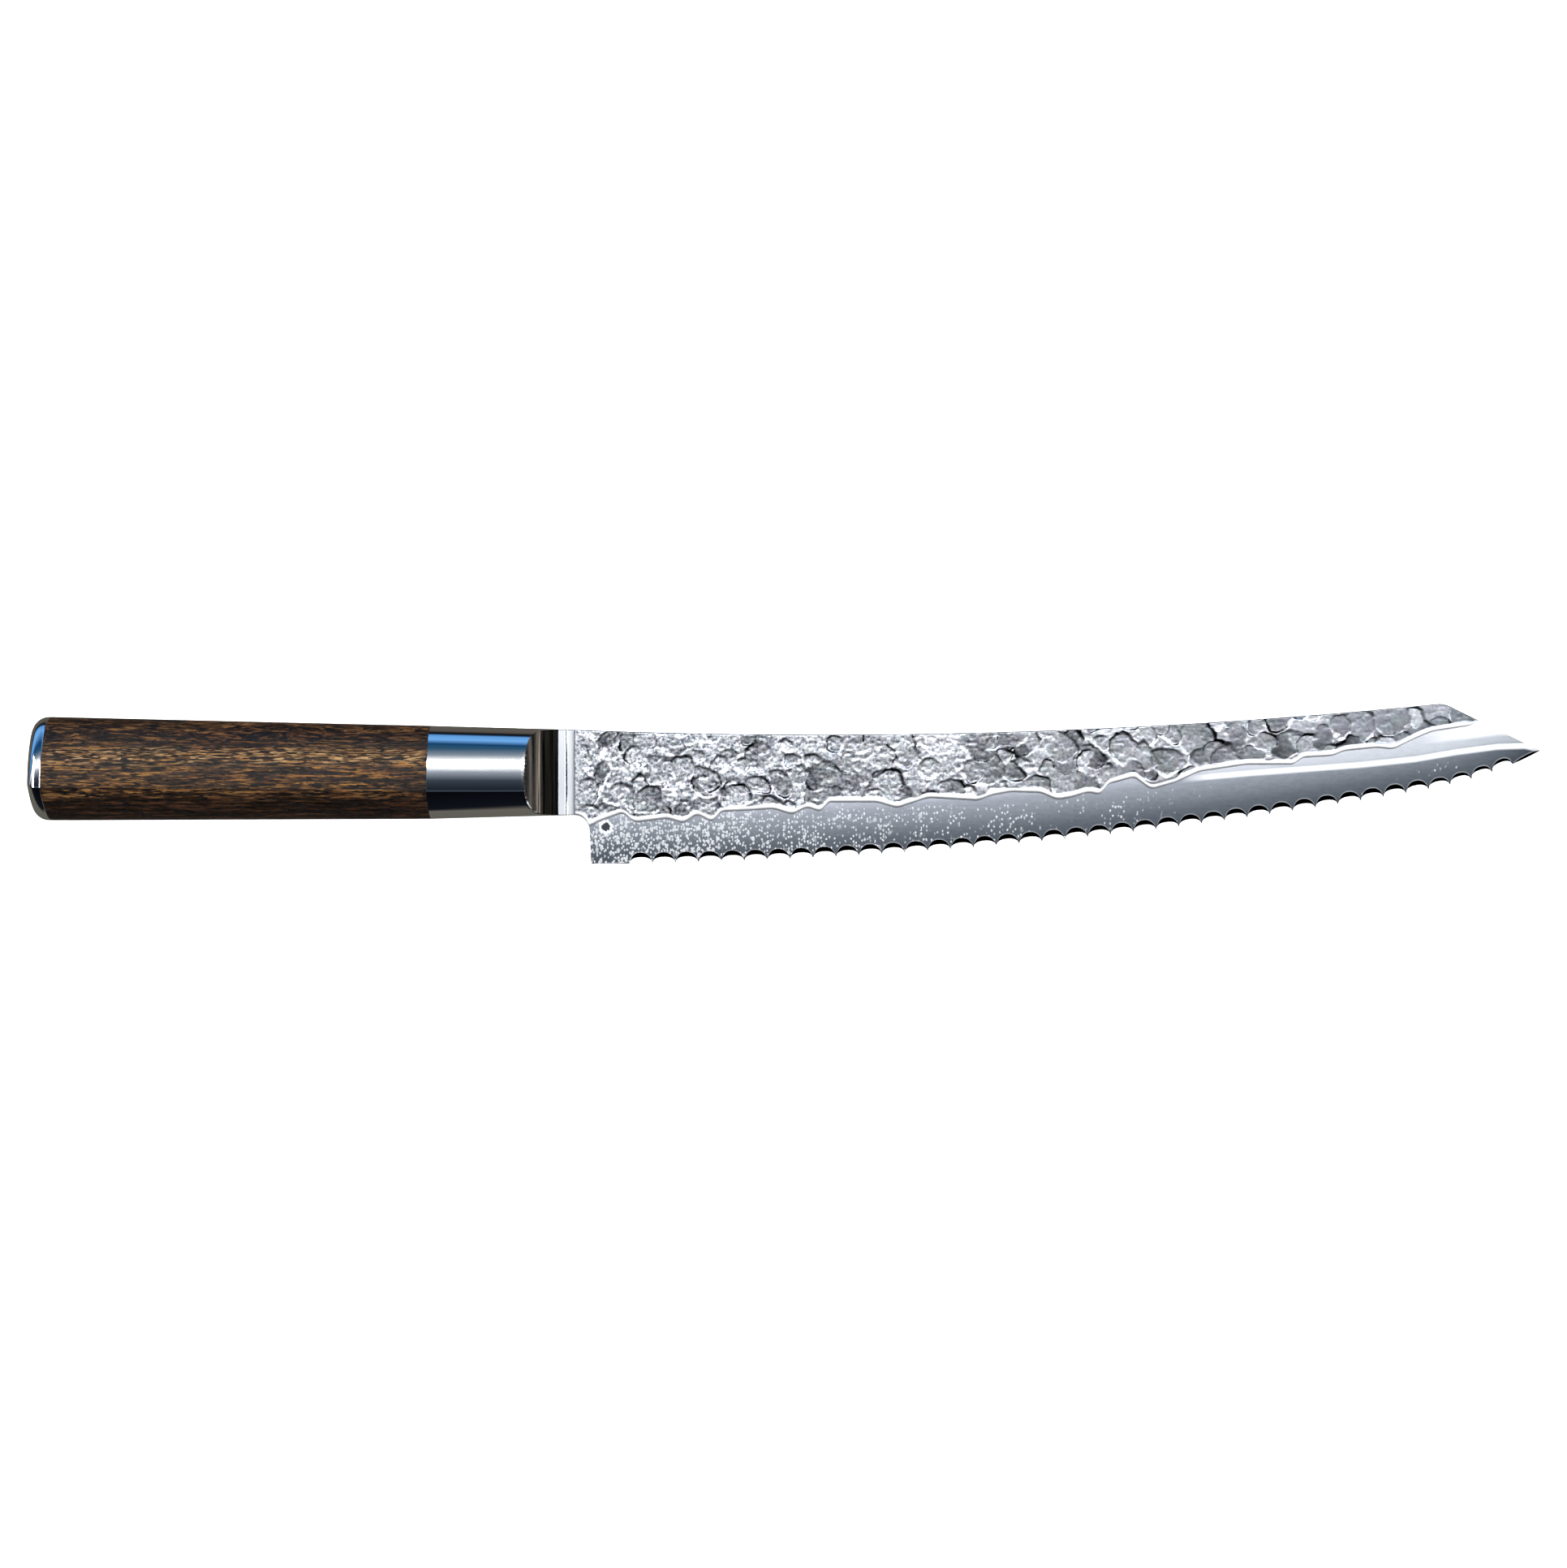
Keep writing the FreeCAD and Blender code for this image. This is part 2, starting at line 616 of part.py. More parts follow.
def grip():
    """The wooden grip, with its slot, stud hole, nut bore and dowel holes."""
    body = new_body("grip")
    loft(body, [butt_section(body, "rear"), joint_section(body, "front")], "loft")
    slot = new_sketch(body, "slot", "YZ", "Derived.joint_x")
    rectangle(slot, "Sizes.tang_height + 2 * Sizes.bedding_wall",
              "Sizes.tang_thickness + 2 * Sizes.bedding_wall")
    pocket(body, slot, "slot_cut", "Derived.joint_x - Derived.bedding_end_x")
    hole = new_sketch(body, "stud_hole", "YZ", "Derived.grip_end_x")
    circle(hole, "Sizes.stud_hole_radius")
    pocket(body, hole, "stud_hole_cut", "Derived.bedding_end_x - Derived.grip_end_x",
           reverse=True)
    bore = new_sketch(body, "nut_bore", "YZ", "Derived.grip_end_x")
    circle(bore, "Sizes.nut_bore_radius")
    pocket(body, bore, "nut_bore_cut", "Sizes.nut_bore_depth", reverse=True)
    pins = new_sketch(body, "dowel_holes", "YZ", "Derived.grip_end_x",
                      ("Sizes.butt_rise", "0"))
    dowel_circles(pins, "Sizes.dowel_radius + Sizes.dowel_clearance")
    pocket(body, pins, "dowel_holes_cut", "Sizes.dowel_in_grip", reverse=True)
    return body


def dowel_circles(sketch, radius):
    """Two circles, one above and one below the stud."""
    for sign in ("", "-"):
        circle(sketch, radius, (sign + "Sizes.dowel_spacing / 2", "0"))
    return sketch


def end_cap():
    """The polished cap, its rear rim rounded, with a blind bore for the stud's end."""
    body = new_body("end_cap")
    section = butt_section(body, "section")
    base = pad(body, section, "Sizes.cap_length", "pad", reverse=True)
    rim = []
    butt_x = value("Derived.butt_x")
    for number, edge in enumerate(base.Shape.Edges, start=1):
        if abs(edge.BoundBox.XMax - butt_x) < 1e-4:
            rim.append("Edge%d" % number)
    fillet = body.newObject("PartDesign::Fillet", "end_cap_rim")
    fillet.Base = (base, rim)
    fillet.setExpression("Radius", "Sizes.cap_rim_radius")
    doc.recompute()
    bore = new_sketch(body, "stud_bore", "YZ", "Derived.grip_end_x")
    circle(bore, "Sizes.stud_radius + Sizes.thread_clearance")
    pocket(body, bore, "stud_bore_cut", "Sizes.cap_bore_depth")
    pins = new_sketch(body, "dowel_holes", "YZ", "Derived.grip_end_x",
                      ("Sizes.butt_rise", "0"))
    dowel_circles(pins, "Sizes.dowel_radius + Sizes.dowel_clearance")
    pocket(body, pins, "dowel_holes_cut", "Sizes.dowel_in_cap")
    return body


def cap_dowels():
    """Two pins across the joint of the grip and the cap."""
    body = new_body("cap_dowels")
    pins = new_sketch(body, "circles", "YZ", "Derived.grip_end_x - Sizes.dowel_in_cap",
                      ("Sizes.butt_rise", "0"))
    dowel_circles(pins, "Sizes.dowel_radius")
    pad(body, pins, "Sizes.dowel_in_cap + Sizes.dowel_in_grip", "pad")
    return body


def tang_bar():
    """The flat tang, butted against the blade's stub."""
    body = new_body("tang_bar")
    sketch = new_sketch(body, "section", "YZ", "Derived.tang_end_x")
    rectangle(sketch, "Sizes.tang_height", "Sizes.tang_thickness")
    pad(body, sketch, "Sizes.tang_length", "pad")
    return body


def tang_stud():
    """The round stud on the end of the tang."""
    body = new_body("tang_stud")
    sketch = new_sketch(body, "section", "YZ", "Derived.stud_end_x")
    circle(sketch, "Sizes.stud_radius")
    pad(body, sketch, "Derived.tang_end_x - Derived.stud_end_x", "pad")
    return body


def tang_bedding():
    """The epoxy between the tang and the grip's slot."""
    body = new_body("tang_bedding")
    outer = new_sketch(body, "outer", "YZ", "Derived.bedding_end_x")
    rectangle(outer, "Sizes.tang_height + 2 * Sizes.bedding_wall",
              "Sizes.tang_thickness + 2 * Sizes.bedding_wall")
    pad(body, outer, "Derived.joint_x - Derived.bedding_end_x", "pad")
    inner = new_sketch(body, "inner", "YZ", "Derived.joint_x")
    rectangle(inner, "Sizes.tang_height", "Sizes.tang_thickness")
    pocket(body, inner, "inner_cut", "Derived.joint_x - Derived.tang_end_x")
    hole = new_sketch(body, "stud_hole", "YZ", "Derived.bedding_end_x")
    circle(hole, "Sizes.stud_radius + Sizes.thread_clearance")
    pocket(body, hole, "stud_hole_cut", "Sizes.bedding_end + Sizes.cutter_margin",
           reverse=True)
    return body


def turned_ring(label, profile):
    """A ring turned about the stud's axis from a profile of (station, radius)."""
    body = new_body(label)
    sketch = new_sketch(body, "profile", "XY")
    outline(sketch, profile)
    ring = body.newObject("PartDesign::Revolution", label + "_revolution")
    ring.Profile = sketch
    ring.ReferenceAxis = (sketch, ["H_Axis"])
    ring.Angle = 360
    doc.recompute()
    return body


def washers():
    """The plain washer on the wood, and the dished spring washer on it."""
    inner = "Sizes.stud_radius + Sizes.washer_clearance"
    outer = "Sizes.washer_radius"
    seat = "Derived.nut_seat_x"
    next_seat = "Derived.spring_seat_x"
    plain = turned_ring("plain_washer", [
        (next_seat, inner), (seat, inner), (seat, outer), (next_seat, outer)])
    # The rim of the spring washer rests on the plain one, and its centre on the nut.
    rise = "Sizes.spring_washer_rise"
    thick = "Sizes.spring_washer_thickness"
    spring = turned_ring("spring_washer", [
        ("%s - %s - %s" % (next_seat, rise, thick), inner),
        ("%s - %s" % (next_seat, rise), inner),
        (next_seat, outer),
        ("%s - %s" % (next_seat, thick), outer)])
    return [plain, spring]


def tang_nut():
    """The hexagon nut that clamps the grip."""
    body = new_body("tang_nut")
    sketch = new_sketch(body, "hexagon", "YZ", "Derived.nut_x - Sizes.nut_thickness")
    corner = "Sizes.nut_flats / sqrt(3)"
    points = [("%s * cos(%d)" % (corner, turn), "%s * sin(%d)" % (corner, turn))
              for turn in range(0, 360, 60)]
    outline(sketch, points)
    pad(body, sketch, "Sizes.nut_thickness", "pad")
    hole = new_sketch(body, "hole", "YZ", "Derived.nut_x - Sizes.nut_thickness")
    circle(hole, "Sizes.stud_radius + Sizes.thread_clearance")
    pocket(body, hole, "hole_cut", "Sizes.nut_thickness", reverse=True)
    return body


def check_and_write(bodies):
    """Check every object and every solid, then write one file for each sub-part."""
    doc.recompute()
    for item in doc.Objects:
        if "Invalid" in item.State or "Error" in item.State:
            raise RuntimeError("failed object: " + item.Label)
    for body in bodies:
        if body.Shape.isNull() or not body.Shape.isValid():
            raise RuntimeError("bad shape: " + body.Label)
    os.makedirs("parts", exist_ok=True)
    for body in bodies:
        body.Shape.exportStep("parts/%s.step" % body.Label)
        box = body.Shape.BoundBox
        print("%-16s %d solid(s) %10.2f mm3  x %.2f..%.2f  y %.2f..%.2f  z %.2f..%.2f" % (
            body.Label, len(body.Shape.Solids), body.Shape.Volume,
            box.XMin, box.XMax, box.YMin, box.YMax, box.ZMin, box.ZMax))


check_and_write([
    core_steel(),
    cladding("cladding_right", RIGHT),
    cladding("cladding_left", LEFT),
    bolster(),
    grip(),
    end_cap(),
    cap_dowels(),
    tang_bar(),
    tang_stud(),
    tang_bedding(),
    *washers(),
    tang_nut(),
])
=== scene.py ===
"""The looks of a hammered bread knife, built round its CAD frame."""

import math
import random

import bmesh
import bpy
import numpy as np
from bpy.props import FloatProperty, FloatVectorProperty, IntProperty, PointerProperty
from mathutils import Matrix, Vector


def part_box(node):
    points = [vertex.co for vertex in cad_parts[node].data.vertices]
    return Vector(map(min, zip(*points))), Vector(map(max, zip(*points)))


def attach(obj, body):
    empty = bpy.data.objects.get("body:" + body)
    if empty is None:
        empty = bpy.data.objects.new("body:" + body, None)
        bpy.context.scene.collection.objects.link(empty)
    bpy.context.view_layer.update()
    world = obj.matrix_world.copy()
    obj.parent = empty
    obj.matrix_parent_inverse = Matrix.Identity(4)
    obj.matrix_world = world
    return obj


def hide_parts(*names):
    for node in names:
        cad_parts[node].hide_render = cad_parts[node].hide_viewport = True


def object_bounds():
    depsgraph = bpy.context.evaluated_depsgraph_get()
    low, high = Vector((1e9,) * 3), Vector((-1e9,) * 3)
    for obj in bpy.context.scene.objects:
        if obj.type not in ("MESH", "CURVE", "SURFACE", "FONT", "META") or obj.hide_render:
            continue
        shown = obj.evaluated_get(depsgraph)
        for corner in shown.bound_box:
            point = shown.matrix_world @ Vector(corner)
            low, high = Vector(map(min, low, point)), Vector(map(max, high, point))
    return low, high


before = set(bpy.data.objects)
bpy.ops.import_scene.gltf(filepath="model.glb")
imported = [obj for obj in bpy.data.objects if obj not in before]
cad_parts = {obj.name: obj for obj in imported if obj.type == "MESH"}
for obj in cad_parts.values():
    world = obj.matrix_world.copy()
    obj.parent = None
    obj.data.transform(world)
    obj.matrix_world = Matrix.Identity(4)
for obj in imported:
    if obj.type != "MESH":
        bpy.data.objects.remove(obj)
CAD_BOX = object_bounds()

bl_info = {
    "name": "Hammered Bread Knife",
    "version": (1, 0, 0),
    "blender": (4, 5, 0),
    "location": "View3D > Sidebar > Knife",
    "description": "Builds a hammered bread knife with a dark wooden grip",
    "category": "Add Mesh",
}

MM = 0.001

# The knife is drawn in millimetres about its heel: X = 0 at the heel of the edge, Y = 0 on
# the handle's axis and Z = 0 on the blade's middle plane. The frame gives where that is.
NECK_GAP = 3.6
STUD_LOW, STUD_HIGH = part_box("tang_stud")
BOLSTER_LOW, BOLSTER_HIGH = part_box("bolster")
_, CORE_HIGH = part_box("core_steel")
GRIP_LOW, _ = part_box("grip")
CAP_LOW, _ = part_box("end_cap")
_, CLAD_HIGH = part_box("cladding_right")
HEEL = Vector((BOLSTER_HIGH.x + NECK_GAP * MM,
               (STUD_LOW.y + STUD_HIGH.y) / 2,
               (STUD_LOW.z + STUD_HIGH.z) / 2))


def from_heel(corner, axis):
    """A frame corner's distance from the heel along one axis, in millimetres."""
    return (corner[axis] - HEEL[axis]) / MM


BLADE_LENGTH = from_heel(CORE_HIGH, 0)
CORE_HALF = from_heel(CORE_HIGH, 2)
BLADE_HALF = from_heel(CLAD_HIGH, 2)
SHOULDER = from_heel(BOLSTER_HIGH, 0)
JOINT = from_heel(BOLSTER_LOW, 0)
GRIP_END = from_heel(GRIP_LOW, 0)
BUTT = from_heel(CAP_LOW, 0)

# Side view of the blade, mm
HEEL_DEPTH = 22.1
HEEL_FLAT = 9.5
EDGE_START = math.radians(0.62)
EDGE_RADIUS = 1190.0
TIP_ZONE = 27.0
TIP_RADIUS = 90.0
TIP_PLAIN = 7.4
NECK_TOP = 10.3
NECK_BOTTOM = 10.4
CHOIL_DROP = 4.4
PEAK_X = BLADE_LENGTH - 23.6
PEAK_Y = 16.7
SPINE_RADIUS = 1500.0
SCALLOP_DEPTH = 1.5
MAIN_SCALLOPS = 35
TIP_SCALLOPS = 4
MAIN_HOLLOW, TIP_HOLLOW = 1.2, 0.9
SCALLOP_STEPS = 20
ARCH_POWER = 2.4
EDGE_HALF = 0.12
SPINE_CORNER = 1.0

# The handle's cross-section, mm
JOINT_HEIGHT, JOINT_RIDGE = 22.6, 8.5
FRONT_HEIGHT, FRONT_RIDGE = 20.7, 8.2
BUTT_HEIGHT, BUTT_RIDGE, BUTT_RISE = 25.1, 9.5, 0.9
RIDGE_DROP = 4.7
CORNER_RADIUS = 6.8
FLANK_RADIUS = 24.0
LEFT_RADIUS = 400.0
COLLAR_LENGTH = 4.1
COLLAR_HALF = 1.5
SCOOP_SECTION = 0.65
SCOOP_RADIUS = 7.5
CAP_RIM = 3.2
NO_LIMIT = 99.0

# The collar: a flat band, a fine groove, a rounded band and the step to the blade, each row
# at a distance past the scoop, with its half thickness and its satin share
COLLAR = [(0.05, 1.5, 0.0), (0.2, 1.42, 1.0), (1.7, 1.40, 1.0), (1.9, 1.22, 0.0),
          (2.15, 1.22, 0.0), (2.4, 1.36, 1.0), (3.0, 1.40, 1.0), (3.6, 1.26, 0.7),
          (4.1, 1.06, 0.3)]

# The hammered layer's mesh, and the pitch of its rows of marks as a share of their spacing
CLADDING_COLUMNS, CLADDING_ROWS = 820, 88
ROW_PITCH = 0.86
# The band of marks starts this far behind and below the heel, and is this tall, mm
MARKS_X, MARKS_Y, MARKS_TALL = -5, -16, 36
# A burr value well away from the edge, mm
NO_BURR = 9.0
# Cells each way in value_noise before it repeats
LATTICE = 257

# The studio: metres, degrees and watts, but the camera's in millimetres
FLOOR_HALF = 30.0
STRIP_LEAN, STRIP_REACH, STRIP_POWER = 24, 1.5, 21
FILL_POWER = 8
SHOWN_WIDTH = 379.6
CAMERA_SHIFT = 1.13
SENSOR_WIDTH = 36.0

EDGE_CENTRE = np.array([HEEL_FLAT - EDGE_RADIUS * math.sin(EDGE_START),
                        EDGE_RADIUS * math.cos(EDGE_START) - HEEL_DEPTH])
EDGE_END = math.asin((BLADE_LENGTH - TIP_ZONE - EDGE_CENTRE[0]) / EDGE_RADIUS)
TIP_CENTRE = EDGE_CENTRE + (EDGE_RADIUS - TIP_RADIUS) * np.array(
    [math.sin(EDGE_END), -math.cos(EDGE_END)])
TIP_ANGLE = math.asin((BLADE_LENGTH - TIP_CENTRE[0]) / TIP_RADIUS)
TIP_Y = TIP_CENTRE[1] - TIP_RADIUS * math.cos(TIP_ANGLE)


def linear(code):
    """An sRGB hex colour as linear red, green and blue."""
    channels = [int(code[i:i + 2], 16) / 255 for i in (1, 3, 5)]
    return tuple(c / 12.92 if c <= 0.04045 else ((c + 0.055) / 1.055) ** 2.4
                 for c in channels)


def size(name, default, words, low=0.0, high=50.0):
    """A size in millimetres, as a property."""
    return FloatProperty(name=name, default=default, description=words, min=low, max=high)


def colour(name, code, words):
    """A colour, as a property."""
    return FloatVectorProperty(name=name, default=linear(code), description=words,
                               subtype="COLOR", min=0.0, max=1.0)


class KnifeBladeSettings(bpy.types.PropertyGroup):
    """What a user would change on the blade."""
    mark_spacing: size("Mark spacing", 4.8, "Distance between hammer marks, mm", 1.0, 20.0)
    mark_radius: size("Mark radius", 3.7, "Usual radius of a hammer mark, mm", 0.5, 10.0)
    mark_depth: size("Mark depth", 0.42, "Depth of the deepest hammer marks, mm", 0.0, 0.45)
    grain_depth: size("Grain depth", 0.06, "Roughness between the marks, mm", 0.0, 0.2)
    rim_width: size("Rim width", 1.35, "Width of the bright rim under the marks, mm", 0.3, 3)
    seed: IntProperty(name="Seed", default=11, description="Order of the hammer marks")
    speck: colour("Specks", "#f4f6fa", "Bright specks in the core steel")
    # The colour of the dark scale and painted shade along the marks' walls.
    hollow: colour("Hollows", "#08090b", "Dark bottoms of the marks")
    bright: colour("Bright", "#fbfcff", "Bright steel between the marks")


class KnifeHandleSettings(bpy.types.PropertyGroup):
    """What a user would change on the handle."""
    pore_depth: size("Pore depth", 0.07, "Depth of the wood's open pores, mm", 0.0, 0.3)
    joint_gap: size("Joint gap", 0.10, "Chamfer at the joints of the handle, mm", 0.0, 0.5)
    wood_dark: colour("Dark wood", "#0c0603", "Dark bands of the wood")
    wood_mid: colour("Mid wood", "#2f1d0d", "Ground colour of the wood")
    wood_light: colour("Light wood", "#7c5628", "Light bands of the wood")
    steel: colour("Steel", "#e4e7ec", "Polished bolster and cap")


class KnifeStageSettings(bpy.types.PropertyGroup):
    """What a user would change in the studio."""
    camera_distance: FloatProperty(name="Camera distance", default=0.56, unit="LENGTH",
                                   description="Height of the camera over the blade")
    floor: colour("Floor", "#f7f7f7", "Pale floor")


# ---------------------------------------------------------------- mesh tools

def grid_skin(name, table, layers=(), crease=35):
    """A skin from a grid whose vertex (i, j) goes to table[i, j], in millimetres from the
    heel. layers are (name, values) on the vertices. Vertices that meet are welded, such as
    a first and last row, and the open ends are filled."""
    columns, rows = table.shape[:2]
    bm = bmesh.new()
    bmesh.ops.create_grid(bm, x_segments=columns - 1, y_segments=rows - 1, size=1)
    made = [(bm.verts.layers.float.new(word), values) for word, values in layers]
    for vert in bm.verts:
        i = round((vert.co.x + 1) / 2 * (columns - 1))
        j = round((vert.co.y + 1) / 2 * (rows - 1))
        x, y, z = table[i, j]
        vert.co = (HEEL.x + x * MM, HEEL.y + y * MM, HEEL.z + z * MM)
        for layer, values in made:
            vert[layer] = values[i, j]
    bmesh.ops.remove_doubles(bm, verts=bm.verts, dist=1e-7)
    bmesh.ops.dissolve_degenerate(bm, edges=bm.edges, dist=1e-8)
    open_edges = [e for e in bm.edges if e.is_boundary]
    if open_edges:
        bmesh.ops.holes_fill(bm, edges=open_edges, sides=0)
    bmesh.ops.recalc_face_normals(bm, faces=bm.faces)
    return finish_mesh(name, bm, crease)


def finish_mesh(name, bm, crease=35):
    """An object from a bmesh, shaded smooth up to the crease angle."""
    limit = math.radians(crease)
    for face in bm.faces:
        face.smooth = True
    for edge in bm.edges:
        if len(edge.link_faces) == 2 and edge.calc_face_angle(0) > limit:
            edge.smooth = False
    mesh = bpy.data.meshes.new(name)
    bm.to_mesh(mesh)
    bm.free()
    piece = bpy.data.objects.new(name, mesh)
    bpy.context.scene.collection.objects.link(piece)
    return piece


def place_piece(piece, material, slot, *nodes):
    """Dress a piece, and let it stand for CAD nodes."""
    piece.data.materials.append(material)
    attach(piece, "root")
    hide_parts(*nodes)


def smooth_step(low, high, values):
    """0 below low, 1 above high and a smooth rise between them."""
    t = np.clip((values - low) / (high - low), 0, 1)
    return t * t * (3 - 2 * t)


def value_noise(x, y, cell, seed):
    """Smooth noise from -1 to 1 on a plane, with one random value per cell."""
    rng = np.random.default_rng(seed)
    lattice = rng.uniform(-1, 1, (LATTICE, LATTICE))
    u, v = np.asarray(x) / cell, np.asarray(y) / cell
    i, j = np.floor(u).astype(int), np.floor(v).astype(int)
    s, t = u - i, v - j
    s, t = s * s * (3 - 2 * s), t * t * (3 - 2 * t)
    i, j, right, up = (n % LATTICE for n in (i, j, i + 1, j + 1))
    a = lattice[i, j] * (1 - s) + lattice[right, j] * s
    b = lattice[i, up] * (1 - s) + lattice[right, up] * s
    return a * (1 - t) + b * t


# ---------------------------------------------------------------- node tools

def new_material(name):
    """A material with an empty tree and its output."""
    material = bpy.data.materials.new(name)
    material.use_nodes = True
    material.node_tree.nodes.clear()
    return material


def add(material, kind, inputs=None, **settings):
    """One node: its settings, then its inputs, which are values or other nodes' sockets."""
    node = material.node_tree.nodes.new("ShaderNode" + kind)
    for key, setting in settings.items():
        setattr(node, key, setting)
    for key, given in (inputs or {}).items():
        socket = node.inputs[key]
        if isinstance(given, bpy.types.NodeSocket):
            material.node_tree.links.new(given, socket)
        elif isinstance(given, tuple) and len(given) == 3 and socket.type == "RGBA":
            socket.default_value = (*given, 1.0)
        else:
            socket.default_value = given
    return node


def ramp(material, factor, stops):
    """A colour ramp through (position, colour) stops."""
    node = add(material, "ValToRGB", {"Fac": factor})
    elements = node.color_ramp.elements
    while len(elements) < len(stops):
        elements.new(0.5)
    for element, (position, tone) in zip(elements, stops):
        element.position = position
        element.color = (*tone, 1.0) if isinstance(tone, tuple) else (tone, tone, tone, 1.0)
    return node.outputs["Color"]


def mixed(material, factor, first, second, blend="MIX"):
    """Two colours mixed by a factor."""
    node = add(material, "Mix", data_type="RGBA", blend_type=blend)
    for key, given in ((0, factor), (6, first), (7, second)):
        socket = node.inputs[key]
        if isinstance(given, bpy.types.NodeSocket):
            material.node_tree.links.new(given, socket)
        else:
            socket.default_value = (*given, 1.0) if isinstance(given, tuple) else given
    return node.outputs[2]


def maths(material, operation, *values, clamp=False):
    """One arithmetic node."""
    return add(material, "Math", dict(enumerate(values)), operation=operation,
               use_clamp=clamp).outputs[0]


def times(material, first, second):
    """The product of two values."""
    return maths(material, "MULTIPLY", first, second)


def plus(material, first, second):
    """The sum of two values."""
    return maths(material, "ADD", first, second)


def minus(material, first, second):
    """The first value less the second."""
    return maths(material, "SUBTRACT", first, second)


def span(material, value, low, high):
    """0 at low, 1 at high and straight between, either way round, and flat beyond."""
    return add(material, "MapRange", {"Value": value, "From Min": low, "From Max": high},
               clamp=True).outputs[0]


def zone(material, place, heel, low, high):
    """span along a coordinate, between two distances from the heel in millimetres."""
    return span(material, place, heel + low * MM, heel + high * MM)


def finish_material(material, shader):
    """Join the shader to the output."""
    add(material, "OutputMaterial", {"Surface": shader.outputs[0]})
    return material


def stretched(material, scale):
    """Object coordinates, scaled to cells per metre along each axis."""
    place = add(material, "TexCoord").outputs["Object"]
    return add(material, "Mapping", {"Vector": place, "Scale": scale}).outputs[0]


def coordinate(material, axis):
    """One object coordinate, in metres."""
    return add(material, "SeparateXYZ", {0: stretched(material, (1, 1, 1))}).outputs[axis]


def attribute(material, name):
    """A value stored on the mesh's vertices."""
    return add(material, "Attribute", attribute_name=name).outputs["Fac"]


def noise(material, scale, detail, rough=0.5, output="Fac"):
    """Noise in cells per metre along each axis."""
    return add(material, "TexNoise", {"Vector": stretched(material, scale), "Scale": 1.0,
                                      "Detail": detail, "Roughness": rough}).outputs[output]


def bump(material, height, strength, distance):
    """A normal roughened by a height, its distance in metres."""
    return add(material, "Bump", {"Height": height, "Strength": strength,
                                  "Distance": distance}).outputs[0]


def finish_metal(material, tone, rough, normal):
    """Bare metal in a colour, joined to the output."""
    shader = add(material, "BsdfPrincipled", {"Base Color": tone, "Metallic": 1.0,
                                              "Roughness": rough, "Normal": normal})
    return finish_material(material, shader)


# ---------------------------------------------------------------- blade

def arc_y(x, first, second, radius):
    """Height at x of the hollow arc through two points, its centre above them."""
    first, second = np.array(first), np.array(second)
    chord = second - first
    middle = (first + second) / 2
    length = np.linalg.norm(chord)
    lift = math.sqrt(radius ** 2 - (length / 2) ** 2)
    centre = middle + lift * np.array([-chord[1], chord[0]]) / length
    return centre[1] - np.sqrt(radius ** 2 - (np.asarray(x) - centre[0]) ** 2)


def top_y(x):
    """The spine, and the slope down to the tip, with a rounded corner between them."""
    spine = arc_y(np.minimum(x, PEAK_X + 5), (SHOULDER, NECK_TOP), (PEAK_X, PEAK_Y),
                  SPINE_RADIUS)
    fall = (TIP_Y - PEAK_Y) / (BLADE_LENGTH - PEAK_X)
    slope = PEAK_Y + fall * (x - PEAK_X)
    near = np.maximum(SPINE_CORNER - np.abs(spine - slope), 0) / SPINE_CORNER
    return np.minimum(spine, slope) - near ** 2 * SPINE_CORNER / 4


def edge_distance(x, y):
    """Distance of a point above the line of the tooth points."""
    main = EDGE_RADIUS - np.hypot(x - EDGE_CENTRE[0], y - EDGE_CENTRE[1])
    tip = TIP_RADIUS - np.hypot(x - TIP_CENTRE[0], y - TIP_CENTRE[1])
    past = np.arctan2(x - TIP_CENTRE[0], TIP_CENTRE[1] - y) > EDGE_END
    return np.where(past, tip, main)


def choil_y(x):
    """The hollow in front of the neck, down to the heel's upright."""
    across = -x / NECK_GAP
    return -NECK_BOTTOM - CHOIL_DROP * (1 - np.sqrt(np.clip(1 - (1 - across) ** 2, 0, 1)))


def edge_stations():
    """Along the bottom of the blade: x, y, and the height of the ground hollow. It runs
    under the neck, down the choil, over the flat and the scallops, to the plain tip."""
    rows = [(x, float(choil_y(x)), 0.0) for x in np.linspace(SHOULDER, -0.2, 16)]
    for t in np.linspace(0.02, 1, 22, endpoint=False):
        x = t * HEEL_FLAT
        rows.append((x, -HEEL_DEPTH - (HEEL_FLAT - x) * math.tan(EDGE_START), 0.25 * t))

    def run(centre, radius, start, sweep, count, tall):
        steps = count * SCALLOP_STEPS
        for step in range(steps):
            along = step % SCALLOP_STEPS / SCALLOP_STEPS
            arch = math.sqrt(max(1 - abs(2 * along - 1) ** ARCH_POWER, 0))
            lean = arch ** 0.6 * (1.12 - 0.3 * along)
            angle = start + sweep * step / steps
            reach = radius - SCALLOP_DEPTH * arch
            rows.append((centre[0] + reach * math.sin(angle),
                         centre[1] - reach * math.cos(angle), tall * arch * lean))

    tip_sweep = TIP_ANGLE - EDGE_END - TIP_PLAIN / TIP_RADIUS
    run(EDGE_CENTRE, EDGE_RADIUS, EDGE_START, EDGE_END - EDGE_START, MAIN_SCALLOPS,
        MAIN_HOLLOW)
    run(TIP_CENTRE, TIP_RADIUS, EDGE_END, tip_sweep, TIP_SCALLOPS, TIP_HOLLOW)
    for t in np.linspace(0, 1, 30):
        angle = EDGE_END + tip_sweep + t * (TIP_ANGLE - EDGE_END - tip_sweep)
        rows.append((TIP_CENTRE[0] + TIP_RADIUS * math.sin(angle),
                     TIP_CENTRE[1] - TIP_RADIUS * math.cos(angle),
                     0.8 * math.sin(math.pi * t) ** 0.6))
    return np.array(rows)


